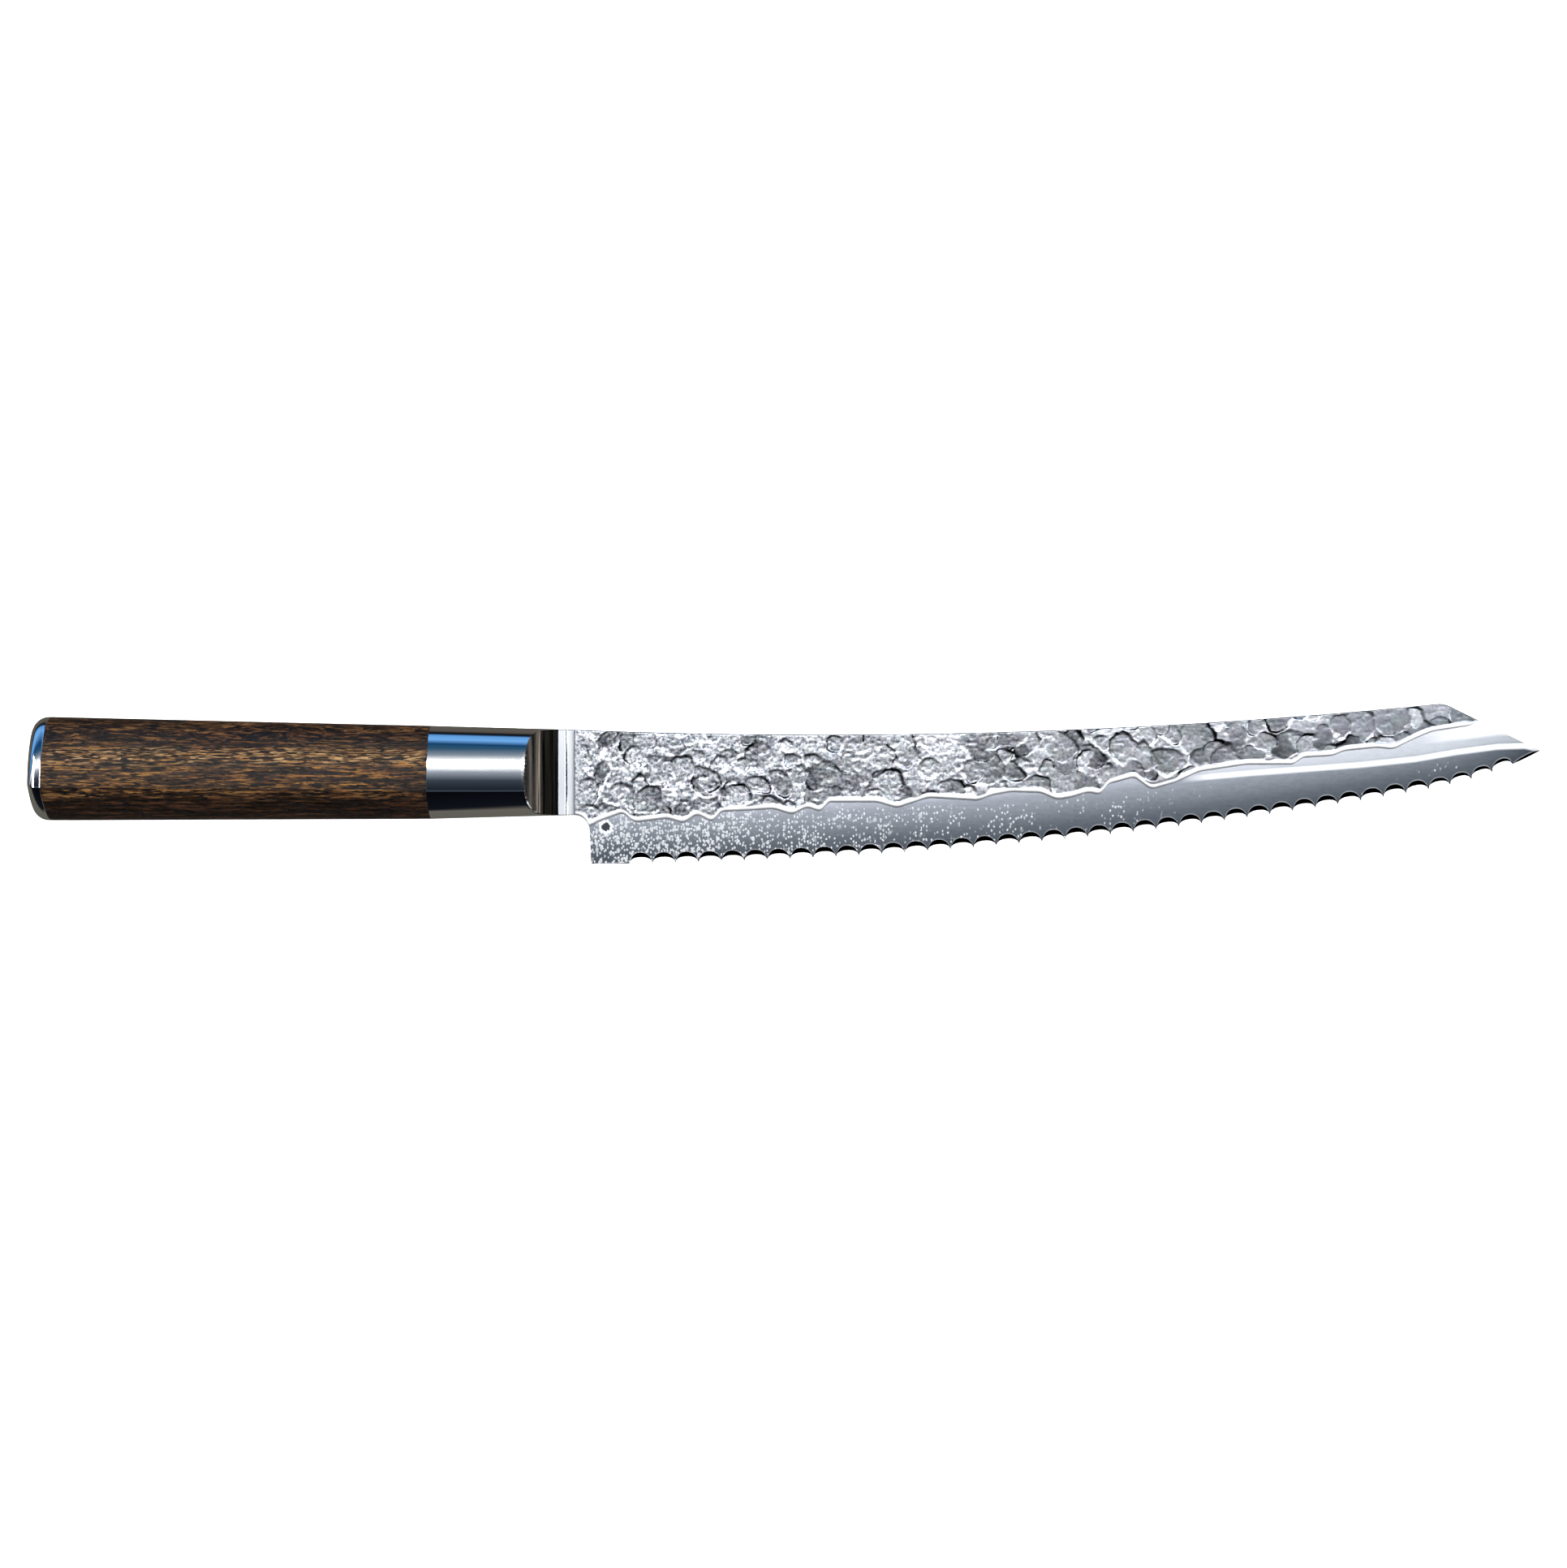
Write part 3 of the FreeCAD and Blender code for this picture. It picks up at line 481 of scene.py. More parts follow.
# The shoulder where the bevel starts, (x, y) in millimetres from the heel. Behind 148 mm
# the hammered layer hides it.
SHOULDER_LINE = [(0, -11.5), (60, -9.0), (120, -4.6), (148, -1.2), (159.3, -0.2),
                 (172.7, 0.8), (186.1, 1.8), (199.6, 3.2), (209.5, 4.9), (219.5, 6.2),
                 (226.0, 6.4), (BLADE_LENGTH, 5.5)]


def line_y(x):
    """Height of the bevel's shoulder at x."""
    xs, ys = np.array(SHOULDER_LINE).T
    return np.interp(x, xs, ys)


def bevel_half(x, y):
    """Half the core's thickness at a point."""
    rise = np.maximum(edge_distance(x, y), 0)
    height = np.maximum(edge_distance(x, line_y(x)), 0.3)
    return EDGE_HALF + (CORE_HALF - EDGE_HALF) * np.clip(rise / height, 0, 1)


def make_core():
    """The core, wrapped from the spine down the left face and up the right one."""
    x, low, hollow = edge_stations().T
    high = np.maximum(top_y(x), low + 0.01)
    neck = x < 0
    upright = low + hollow
    table, lines, burrs, heights = [], [], [], []

    def add_row(y, z, burr):
        table.append(np.stack([x, y, z], axis=1))
        lines.append(y - line_y(x))
        burrs.append(burr + 0 * x)
        heights.append(edge_distance(x, y))

    add_row(high, 0 * x, NO_BURR)
    for t in np.linspace(1, 0, 26):
        y = low + (high - low) * t
        add_row(y, -np.where(neck, CORE_HALF, bevel_half(x, y)), 0.35 + y - low)
    # The hollow opens from the left face's edge up to the right face.
    for t in np.linspace(0, 1, 7)[1:-1]:
        y = low + hollow * t ** 1.5
        rise = np.where(neck, CORE_HALF, bevel_half(x, upright))
        start = -np.where(neck, CORE_HALF, bevel_half(x, low))
        add_row(y, start + (rise - start) * t, np.where(hollow > 0.02, y - upright, 1))
    for t in np.linspace(0, 1, 58) ** 1.15:
        y = upright + (high - upright) * t
        add_row(y, np.where(neck, CORE_HALF, bevel_half(x, y)),
                np.where(hollow > 0.02, y - upright, 1))
    add_row(high, 0 * x, NO_BURR)
    layers = [(word, np.stack(rows, axis=1)) for word, rows in
              (("line_mm", lines), ("burr_mm", burrs), ("edge_mm", heights))]
    return grid_skin("blade_core", np.stack(table, axis=1), layers, crease=25)


# The lower rim of the hammered layer, (x, y) in millimetres from the heel. The hammer marks
# bite into it, so it wanders.
RIM_LINE = [
    (-0.3, -13.3), (1.5, -12.2), (4.2, -11.2), (8.0, -9.8), (10.6, -12.2), (15.0, -11.7),
    (18.7, -11.2), (22.6, -12.4), (25.8, -10.2), (29.8, -12.2), (31.4, -9.6), (38.2, -9.3),
    (44.4, -8.9), (48.9, -10.3), (52.4, -8.5), (56.0, -9.7), (57.3, -7.3), (69.4, -7.3),
    (74.2, -8.7), (81.8, -6.2), (93.8, -6.9), (97.3, -5.6), (101.8, -4.8), (109.0, -5.0),
    (112.9, -6.7), (116.5, -6.1), (120.4, -4.9), (123.6, -5.5), (125.0, -3.0),
    (131.7, -1.2), (133.7, -2.8), (135.7, -4.2), (141.4, -2.6), (147.3, 0.1), (158.8, 1.8),
    (170.2, 1.8), (172.2, 3.5), (179.5, 3.9), (182.3, 5.1), (190.2, 5.9), (194.2, 5.5),
    (199.7, 8.2), (203.6, 9.8), (212.9, 11.2), (214.6, 12.6)]


def rim_y(x):
    """The lower rim's height at x, with its corners eased."""
    xs, ys = np.array(RIM_LINE).T
    shifts = np.linspace(-0.9, 0.9, 7)
    return np.mean([np.interp(x + s, xs, ys) for s in shifts], axis=0)


def hammer_marks(settings, mirror):
    """Hammer marks in loose rows: sparse at the heel, close together towards the tip. Each
    is a centre, radius, depth, turn, squeeze, darkness and amount of dark scale and painted
    shade in its crescent."""
    rng = random.Random(settings.seed + mirror)
    step = settings.mark_spacing
    rows = int(MARKS_TALL / (step * ROW_PITCH))
    columns = int((BLADE_LENGTH + 6) / step)
    marks = []
    for row in range(rows):
        for column in range(columns):
            x = MARKS_X + (column + row % 2 / 2 + rng.uniform(-0.5, 0.5)) * step
            y = MARKS_Y + (row + rng.uniform(-0.5, 0.5)) * step * ROW_PITCH
            along = min(max(x / BLADE_LENGTH, 0), 1)
            size = rng.uniform(0.5, 1.25) * (0.9 + 0.35 * along)
            deep = rng.uniform(0.3, 1.0) * settings.mark_depth
            turn = rng.uniform(0, 2 * math.pi)
            squeeze = rng.uniform(0.6, 1.0)
            tone = rng.uniform(0.0, 1.0) ** (1.7 - 1.2 * along)
            scale = rng.uniform(0.2, 2.0)
            if rng.random() < 0.7 + 0.3 * along:
                marks.append((x, y, size * settings.mark_radius, deep, turn, squeeze, tone,
                              scale))
    return marks


def hammer_face(x, y, settings, mirror):
    """The marks' depth below the face at each point, how grey each point is, with painted
    shade deepening towards a mark's deep side, and a crescent of dark scale and painted
    shade on that side. A mark is a shallow tilted facet with a steep wall round it, and the
    deepest mark wins."""
    warp_x = x + 0.55 * value_noise(x, y, 2.4, 3) + 0.25 * value_noise(x, y, 1.0, 4)
    warp_y = y + 0.55 * value_noise(x, y, 2.4, 5) + 0.25 * value_noise(x, y, 1.0, 6)
    depth, tone, crescent = np.zeros_like(x), np.zeros_like(x), np.zeros_like(x)
    for cx, cy, radius, deep, turn, squeeze, dark, scale in hammer_marks(settings, mirror):
        reach = np.nonzero(np.abs(x[:, 0] - cx) < radius + 1.2)[0]
        if not len(reach):
            continue
        part = slice(reach[0], reach[-1] + 1)
        dx, dy = warp_x[part] - cx, warp_y[part] - cy
        u = (dx * math.cos(turn) + dy * math.sin(turn)) / radius
        v = (dy * math.cos(turn) - dx * math.sin(turn)) / radius / squeeze
        inside = 1 - np.hypot(u, v)
        facet = deep * np.minimum(0.66 + 0.34 * u, inside / 0.22)
        wins = facet > depth[part]
        # Painted shade: the mark's grey deepens towards its deep side.
        grey = dark * (0.65 + 0.35 * u) * smooth_step(0.0, 0.2, inside)
        # The crescent on the deep side is dark scale and painted shade.
        band = smooth_step(0.0, 0.04, inside) * smooth_step(0.25, 0.13, inside)
        left = scale * band * smooth_step(0.0, 0.7, u / np.maximum(1 - inside, 0.01))
        depth[part] = np.where(wins, facet, depth[part])
        tone[part] = np.where(wins, grey, tone[part])
        crescent[part] = np.where(wins, left, crescent[part])
    return depth, tone, crescent


def make_cladding(name, mirror, settings):
    """One hammered layer: its face, the eased spine, and its flat inner side."""
    side = -1 if mirror else 1
    columns, rows = CLADDING_COLUMNS, CLADDING_ROWS
    line = np.linspace(SHOULDER, RIM_LINE[-1][0], columns)
    top = top_y(line)
    under = np.where(line < RIM_LINE[0][0],
                     np.maximum(choil_y(np.minimum(line, 0)), RIM_LINE[0][1]), rim_y(line))
    under = np.minimum(under, top - 0.02)
    share = np.linspace(0, 1, rows)
    x = np.repeat(line[:, None], rows, axis=1)
    low, high = under[:, None], top[:, None]
    y = low + (high - low) * share
    depth, tone, crescent = hammer_face(x, y, settings, mirror)
    slope_x = np.gradient(depth, line, axis=0)
    slope_y = np.gradient(depth, axis=1) / np.maximum(np.gradient(y, axis=1), 1e-3)
    # Dark scale and painted shade on the marks' steep walls and crescents, and a painted
    # shade line along the eased spine.
    wall = 0.45 * smooth_step(0.12, 0.35, np.hypot(slope_x, slope_y))
    wall = np.maximum(np.maximum(wall, np.minimum(crescent, 1)),
                      0.8 * smooth_step(0.40, 0.15, high - y))
    calm = 1 - 0.6 * smooth_step(50, 190, x)
    grain = value_noise(x, y, 1.2, 21 + mirror) + 0.9 * value_noise(x, y, 0.64, 31 + mirror)
    grain = settings.grain_depth * calm * np.maximum(grain + 0.25, 0)
    collar = smooth_step(SHOULDER + 0.6, SHOULDER + 3.0, x)
    eased = 0.16 * np.clip(1 - (high - y) / 0.25, 0, 1) ** 2
    face = BLADE_HALF - (depth + grain) * collar - eased
    # The rim is a burnished band that falls steeply to the core.
    width = np.minimum(settings.rim_width, (high - low) * 0.45)
    fall = np.clip((y - low) / (0.35 * width), 0, 1)
    band = CORE_HALF + 0.03 + (BLADE_HALF - CORE_HALF - 0.14) * (1 - (1 - fall) ** 2)
    rim = 1 - smooth_step(0.75, 1.1, (y - low) / width)
    z = np.maximum(face + (band - face) * rim, CORE_HALF + 0.01)
    flat = np.zeros((columns, 1))
    inner = [np.stack([line, edge, CORE_HALF + 0 * line], axis=1)[:, None]
             for edge in (under, top, (top + under) / 2, under)]
    table = np.concatenate([inner[0], np.stack([x, y, z], axis=2)] + inner[1:], axis=1)
    table[:, :, 2] *= side
    layers = [(word, np.concatenate([flat, values, flat, flat, flat], axis=1))
              for word, values in (("hollow", tone * collar), ("wall", wall * collar),
                                   ("rim", rim))]
    return grid_skin(name, table, layers, crease=60)


# ---------------------------------------------------------------- handle

def handle_section(height, out, count=24):
    """The handle's outline as (y, z) points: nearly flat on the left, with a ridge that
    stands out on the right."""
    r, k = CORNER_RADIUS, RIDGE_DROP
    c = height / 2 - r
    upper_r = (out ** 2 + (c + k) ** 2 - r ** 2) / (2 * out - 2 * r)
    ridge, bottom = np.array([-k, out]), np.array([-c, 0.0])
    chord = bottom - ridge
    length = np.linalg.norm(chord)
    reach = (FLANK_RADIUS ** 2 - (FLANK_RADIUS - r) ** 2 + length ** 2) / (2 * length)
    off = math.sqrt(FLANK_RADIUS ** 2 - reach ** 2)
    square = np.array([-chord[1], chord[0]])
    flank = ridge + (chord * reach + square * off) / length
    top = np.array([c, 0.0])
    upper = np.array([-k, out - upper_r])
    left = np.array([0.0, math.sqrt((LEFT_RADIUS - r) ** 2 - c ** 2)])

    def heading(a, b):
        return math.atan2(b[1] - a[1], b[0] - a[0])

    arcs = [(top, r, heading(left, top), heading(upper, top)),
            (upper, upper_r, heading(upper, top), heading(upper, ridge)),
            (flank, FLANK_RADIUS, heading(flank, ridge), heading(flank, bottom)),
            (bottom, r, heading(flank, bottom), heading(left, bottom)),
            (left, LEFT_RADIUS, heading(left, bottom), heading(left, top))]
    # Each arc's share of the points
    shares = (1.0, 1.6, 1.0, 1.0, 2.2)
    points = []
    for (centre, radius, start, end), share in zip(arcs, shares):
        if end < start:
            end += 2 * math.pi
        for t in np.linspace(0, 1, int(count * share), endpoint=False):
            angle = start + (end - start) * t
            points.append((centre[0] + radius * math.cos(angle),
                           centre[1] + radius * math.sin(angle)))
    return np.array(points + points[:1])


def ease_ridge(points):
    """The outline with its ridge rounded over a few points."""
    loop = points[:-1]
    weights = np.array([1, 2, 3, 2, 1]) / 9
    eased = sum(w * np.roll(loop, s, axis=0) for w, s in zip(weights, range(-2, 3)))
    return np.vstack([eased, eased[:1]])


def outline_row(x, points):
    """An outline's points as (x, y, z) at one x."""
    return np.column_stack([np.full(len(points), x), points])


def loft(share, count):
    """The section part of the way from the joint (0) to the bolster's front (1)."""
    return ease_ridge(handle_section(JOINT_HEIGHT + (FRONT_HEIGHT - JOINT_HEIGHT) * share,
                                     JOINT_RIDGE + (FRONT_RIDGE - JOINT_RIDGE) * share,
                                     count))


def make_bolster(settings):
    """The polished collar: a closed skin whose rows follow the scoop's edge."""
    count = 40
    scoop_end = SHOULDER - COLLAR_LENGTH
    rear, middle, front = (loft(share, count) for share in (0, SCOOP_SECTION, 1))
    wide = np.abs(middle[:, 1])
    past = np.clip(SCOOP_RADIUS + COLLAR_HALF - wide, -SCOOP_RADIUS, SCOOP_RADIUS)
    run = np.sqrt(np.maximum(SCOOP_RADIUS ** 2 - past ** 2, 0))
    start = scoop_end - np.where(wide > COLLAR_HALF, run, 0)
    table, ground, bright = [], [], []

    def add_row(x, limit, inset=0.0, mark=0.0, shine=0.0):
        share = (x - JOINT) / (SHOULDER - JOINT)
        points = rear + (front - rear) * share[:, None]
        points = points * (1 - inset / 10)
        z = np.sign(points[:, 1]) * np.minimum(np.abs(points[:, 1]), limit)
        table.append(np.stack([x, points[:, 0], z], axis=1))
        ground.append(mark + 0 * x)
        bright.append(shine + 0 * x)

    ones = np.ones_like(start)
    gap = settings.joint_gap
    add_row(JOINT * ones, NO_LIMIT * ones, gap)
    add_row((JOINT + gap) * ones, NO_LIMIT * ones)
    for t in np.linspace(0, 1, 26)[1:]:
        add_row(JOINT + gap + (start - JOINT - gap) * t, NO_LIMIT * ones)
    for t in np.linspace(0, 1, 30):
        x = start + (scoop_end - start) * math.sin(t * math.pi / 2)
        depth = SCOOP_RADIUS ** 2 - np.clip(scoop_end - x, 0, SCOOP_RADIUS) ** 2
        limit = COLLAR_HALF + SCOOP_RADIUS - np.sqrt(depth)
        add_row(x, limit, mark=1.0)
    for along, limit, shine in COLLAR:
        add_row((scoop_end + along) * ones, limit * ones, shine=shine)
    table = np.stack(table, axis=1)
    layers = [("ground", np.stack(ground, axis=1)), ("satin", np.stack(bright, axis=1))]
    return grid_skin("bolster_polished", table, layers, crease=22)


def make_grip(settings):
    """The wooden grip, with its open pores cut along the grain."""
    joint = ease_ridge(handle_section(JOINT_HEIGHT, JOINT_RIDGE, 44))
    butt = ease_ridge(handle_section(BUTT_HEIGHT, BUTT_RIDGE, 44))
    gap = settings.joint_gap
    stations = np.concatenate([[GRIP_END, GRIP_END + gap],
                               np.linspace(GRIP_END + 0.5, JOINT - 0.5, 230),
                               [JOINT - gap, JOINT]])
    around = np.concatenate([[0], np.cumsum(np.linalg.norm(np.diff(butt, axis=0), axis=1))])
    table = []
    for x in stations:
        share = (x - JOINT) / (GRIP_END - JOINT)
        points = joint + (butt - joint) * share
        centre = np.array([BUTT_RISE * share, 0])
        edge = x in (GRIP_END, JOINT)
        lined = value_noise(np.full_like(around, x) / 9, around, 0.42, 51)
        broken = value_noise(np.full_like(around, x), around * 3, 2.6, 52)
        pores = np.clip(lined - 0.25, 0, 1) * np.clip(broken + 0.3, 0, 1)
        sink = settings.pore_depth * pores + (gap if edge else 0)
        sink[-1] = sink[0]
        length = np.linalg.norm(points, axis=1)
        points = points * (1 - sink / length)[:, None] + centre
        table.append(outline_row(x, points))
    return grid_skin("grip_wood", np.stack(table, axis=1), crease=50)


def make_cap(settings):
    """The end cap: the grip's outline drawn out, rounded over to a flat end."""
    outline = ease_ridge(handle_section(BUTT_HEIGHT, BUTT_RIDGE, 40))
    middle = np.array([0.0, (outline[:, 1].max() + outline[:, 1].min()) / 2])
    half = (outline.max(axis=0) - outline.min(axis=0)) / 2
    gap = settings.joint_gap
    profile = [(GRIP_END, gap), (GRIP_END - gap, 0.0), (GRIP_END - 0.8, 0.0)]
    for turn in np.linspace(0, math.pi / 2, 14):
        profile.append((BUTT + CAP_RIM - CAP_RIM * math.sin(turn),
                        CAP_RIM * (1 - math.cos(turn))))
    for inset in (4.4, 5.4, 6.6, 7.8):
        profile.append((BUTT, inset))
    table = []
    for x, inset in profile:
        points = (outline - middle) * (1 - inset / half) + middle + (BUTT_RISE, 0)
        table.append(outline_row(x, points))
    return grid_skin("cap_polished", np.stack(table, axis=1), crease=40)


# ---------------------------------------------------------------- materials

def satin_core(settings):
    """Hard core steel, belt ground and etched: satin blue-grey with painted shade, darker
    towards the edge and paler towards the shoulder, with bright specks near the heel. A
    painted highlight runs along the shoulder, and the hollows of the scallops carry a
    painted dark reflection with a pale burr round them."""
    m = new_material("satin_core_steel")
    line = attribute(m, "line_mm")
    burr = attribute(m, "burr_mm")
    height = attribute(m, "edge_mm")
    brushed = noise(m, (500, 1400, 900), 5.0, 0.7)
    clumps = noise(m, (120, 200, 200), 2.0)
    fray = noise(m, (1700, 1700, 1700), 2.0)
    along = coordinate(m, "X")
    # Flecks of two sizes, one per cell. More cells go without one towards the tip and up
    # by the shoulder.
    bare = plus(m, times(m, zone(m, along, HEEL.x, 5, 160), 0.82),
                times(m, span(m, line, -2.5, 0.5), 0.35))
    speck = 0.0
    for cell, share in ((0.72, 0.80), (1.35, 0.52)):
        flecks = add(m, "TexVoronoi", {"Vector": stretched(m, (1100 / cell, 800 / cell, 1)),
                                       "Scale": 1.0}, voronoi_dimensions="2D")
        chance = add(m, "SeparateColor", {0: flecks.outputs["Color"]}).outputs[0]
        limit = minus(m, plus(m, clumps, share - 0.5), bare)
        there = maths(m, "MULTIPLY", minus(m, limit, chance), 5.0, clamp=True)
        edge = plus(m, flecks.outputs["Distance"], times(m, minus(m, fray, 0.5), 0.7))
        speck = maths(m, "MAXIMUM", speck, times(m, there, span(m, edge, 0.40, 0.24)))
    # Painted shade: the tones climb over the 14 mm above the edge, darker where the bevel
    # turns away from the light.
    tone = ramp(m, maths(m, "DIVIDE", height, 14.0), [
        (0.0, linear("#5f6770")), (0.3, linear("#838a93")), (0.7, linear("#c0c6cf")),
        (1.0, linear("#e0e2ed"))])
    tone = mixed(m, times(m, brushed, 0.6), tone, linear("#7b838c"), "MULTIPLY")
    tone = mixed(m, speck, tone, tuple(settings.speck))
    # The painted highlight along the shoulder is 0.7 mm either side of it, in front of the
    # hammered layer. Above it is a paler zone, which is bright by the clipped tip.
    ahead = zone(m, along, HEEL.x, 143, 150)
    painted_shoulder_highlight = times(m, span(m, maths(m, "ABSOLUTE", line), 0.95, 0.45), ahead)
    clip = times(m, zone(m, along, HEEL.x, 196, 212), span(m, line, 2.0, 3.5))
    above = times(m, times(m, span(m, line, 0.5, 1.2), ahead), 0.30)
    pale = times(m, span(m, burr, 0.3, 0.08), 0.4)
    # One stray mark near the heel is a dark pit in a bright ring.
    pit = add(m, "VectorMath", {0: stretched(m, (1000, 1000, 0)),
                                1: (HEEL.x / MM + 3.75, HEEL.y / MM - 13.2, 0)},
              operation="DISTANCE").outputs["Value"]
    pit = plus(m, pit, times(m, fray, 1.2))
    ring = times(m, span(m, pit, 2.5, 2.2), span(m, pit, 1.5, 1.8))
    bright = painted_shoulder_highlight
    for other in (clip, above, ring, pale):
        bright = maths(m, "MAXIMUM", bright, other)
    tone = mixed(m, bright, tone, linear("#fbfcff"))
    tone = mixed(m, span(m, pit, 1.75, 1.5), tone, linear("#4c4f55"))
    # Painted dark reflection: the scallops' hollows are painted near black and made
    # glossier.
    dark = span(m, burr, 0.02, -0.06)
    tone = mixed(m, dark, tone, linear("#030304"))
    rough = plus(m, plus(m, times(m, brushed, 0.14), 0.40), times(m, bright, 0.25))
    rough = minus(m, rough, times(m, dark, 0.25))
    return finish_metal(m, tone, rough, bump(m, plus(m, brushed, speck), 0.35, 0.00006))


def hammered_steel(settings):
    """Soft outer steel, hammered hot and brushed: pale and grainy between the marks, greyer
    in them with painted shade, smoother and darker towards the tip, with dark scale and
    painted shade along the marks' walls and the spine, and a bright ground rim."""
    m = new_material("hammered_steel")
    rim = attribute(m, "rim")
    along = coordinate(m, "X")
    grain = noise(m, (1300, 1300, 1300), 4.0, 0.7)
    tint = noise(m, (420, 420, 420), 2.0, output="Color")
    patches = noise(m, (300, 380, 300), 4.0, 0.6)
    # Towards the tip the grain closes in on one pale value.
    calm = times(m, zone(m, along, HEEL.x, 30, 160), 0.75)
    grain = plus(m, grain, times(m, calm, minus(m, 0.535, grain)))
    tone = ramp(m, grain, [(0.34, linear("#4d535b")), (0.46, linear("#b4b9c3")),
                           (0.56, tuple(settings.bright))])
    # The marks' grey, with painted shade towards their deep sides.
    tone = mixed(m, attribute(m, "hollow"), tone, linear("#343a42"), "MULTIPLY")
    tone = mixed(m, zone(m, along, HEEL.x, 100, 210), tone, linear("#dadde2"), "MULTIPLY")
    # Dark scale and painted shade along the marks' walls, crescents and spine.
    scale = times(m, attribute(m, "wall"), ramp(m, patches, [(0.36, 0.5), (0.48, 1.0)]))
    tone = mixed(m, scale, tone, tuple(settings.hollow))
    tone = mixed(m, 0.10, tone, tint, "OVERLAY")
    tone = mixed(m, rim, tone, linear("#fcfdff"))
    rough = plus(m, times(m, rim, 0.22), 0.36)
    quiet = minus(m, 0.45, times(m, rim, 0.4))
    return finish_metal(m, tone, rough, bump(m, grain, quiet, 0.00015))


def mirror_steel(settings):
    """Stainless steel, buffed to a mirror, with belt lines in its scoops, which carry a
    painted dark reflection, and satin bands on the collar."""
    m = new_material("mirror_steel")
    ground = attribute(m, "ground")
    lines = noise(m, (2600, 40, 40), 3.0)
    smear = noise(m, (60, 900, 900), 3.0)
    # Painted reflection: the scoops are painted dark, streaked by the belt lines.
    painted_scoop_reflection = ramp(m, lines, [(0.38, linear("#0c0c0d")), (0.62, linear("#45403a"))])
    tone = mixed(m, ground, tuple(settings.steel), painted_scoop_reflection)
    relief = mixed(m, ground, smear, lines)
    rough = plus(m, plus(m, times(m, ground, 0.17), 0.07),
                 times(m, attribute(m, "satin"), 0.4))
    return finish_metal(m, tone, rough, bump(m, relief, 0.06, 0.00004))


def dark_wenge(settings):
    """Oiled wenge: dark brown with a fine straight figure, short open pores up to half a
    millimetre wide, golden patches, painted glints, a purplish wavy band along the top and
    painted shade along the lower side."""
    m = new_material("oiled_wenge")
    sway = noise(m, (30, 130, 130), 3.0, output="Color")
    place = stretched(m, (1, 1, 1))
    height = add(m, "SeparateXYZ", {0: place}).outputs["Y"]
    crown = zone(m, height, HEEL.y, 3.5, 7.5)
    throw = plus(m, times(m, crown, 0.0075), 0.0012)
    shift = add(m, "VectorMath", {0: sway, "Scale": throw}, operation="SCALE").outputs[0]
    warped = add(m, "VectorMath", {0: place, 1: shift}, operation="ADD").outputs[0]

    def fibres(length, width, detail, rough=0.6):
        """Noise in cells of a length along the grain and a width across it, mm."""
        cells = add(m, "Mapping", {"Vector": warped,
                                   "Scale": (1000 / length, 1000 / width, 1000 / width)})
        return add(m, "TexNoise", {"Vector": cells.outputs[0], "Scale": 1.0,
                                   "Detail": detail, "Roughness": rough}).outputs["Fac"]

    streak = fibres(3.6, 0.4, 4, 0.75)
    blend = plus(m, times(m, fibres(14, 0.9, 5), 0.5), times(m, streak, 0.5))
    tone = ramp(m, blend, [(0.42, tuple(settings.wood_dark)),
                           (0.5, tuple(settings.wood_mid)),
                           (0.59, tuple(settings.wood_light))])
    broad = noise(m, (45, 190, 190), 3.0)
    tone = mixed(m, times(m, span(m, broad, 0.5, 0.66), 0.55), tone, linear("#7a5326"),
                 "SOFT_LIGHT")
    tone = mixed(m, times(m, crown, 0.5), tone, linear("#5e4149"), "MULTIPLY")
    # Painted glints: pale flecks painted in a band along the upper side, standing for the
    # highlight on polished vessel walls.
    painted_glint = times(m, span(m, fibres(3.2, 0.45, 1), 0.53, 0.62), 0.5)
    band = times(m, zone(m, height, HEEL.y, 1.2, 3.4), zone(m, height, HEEL.y, 6.4, 4.6))
    tone = mixed(m, times(m, painted_glint, band), tone, linear("#c09a68"))
    # Painted shade: the lower side is darkened.
    lower = times(m, zone(m, height, HEEL.y, -4.5, -7.5), 0.95)
    tone = mixed(m, lower, tone, linear("#6e5844"), "MULTIPLY")
    hole = ramp(m, fibres(3.0, 0.5, 1), [(0.415, 1.0), (0.45, 0.0)])
    tone = mixed(m, hole, tone, linear("#0a0605"))
    relief = minus(m, blend, times(m, hole, 0.7))
    rough = add(m, "MapRange", {"Value": streak, "From Min": 0.3, "From Max": 0.7,
                                "To Min": 0.3, "To Max": 0.6})
    shader = add(m, "BsdfPrincipled", {"Base Color": tone, "Roughness": rough.outputs[0],
                                       "Specular IOR Level": 0.22,
                                       "Normal": bump(m, relief, 0.8, 0.0002)})
    return finish_material(m, shader)


def plain_steel():
    """Turned and rolled carbon steel with a fine mill grain, for the hidden fasteners."""
    m = new_material("mill_steel")
    grain = noise(m, (400, 1600, 1600), 5.0)
    tone = ramp(m, grain, [(0.3, linear("#6f7276")), (0.7, linear("#a3a6aa"))])
    return finish_metal(m, tone, 0.38, bump(m, grain, 0.3, 0.00005))


def cast_epoxy():
    """Amber casting epoxy with a few small bubbles."""
    m = new_material("cast_epoxy")
    cells = add(m, "TexVoronoi", {"Vector": stretched(m, (900, 900, 900)),
                                  "Scale": 1.0}).outputs["Distance"]
    tone = ramp(m, cells, [(0.05, linear("#d9c68a")), (0.2, linear("#a78545"))])
    shader = add(m, "BsdfPrincipled", {"Base Color": tone, "Roughness": 0.3})
    return finish_material(m, shader)


# ---------------------------------------------------------------- operators

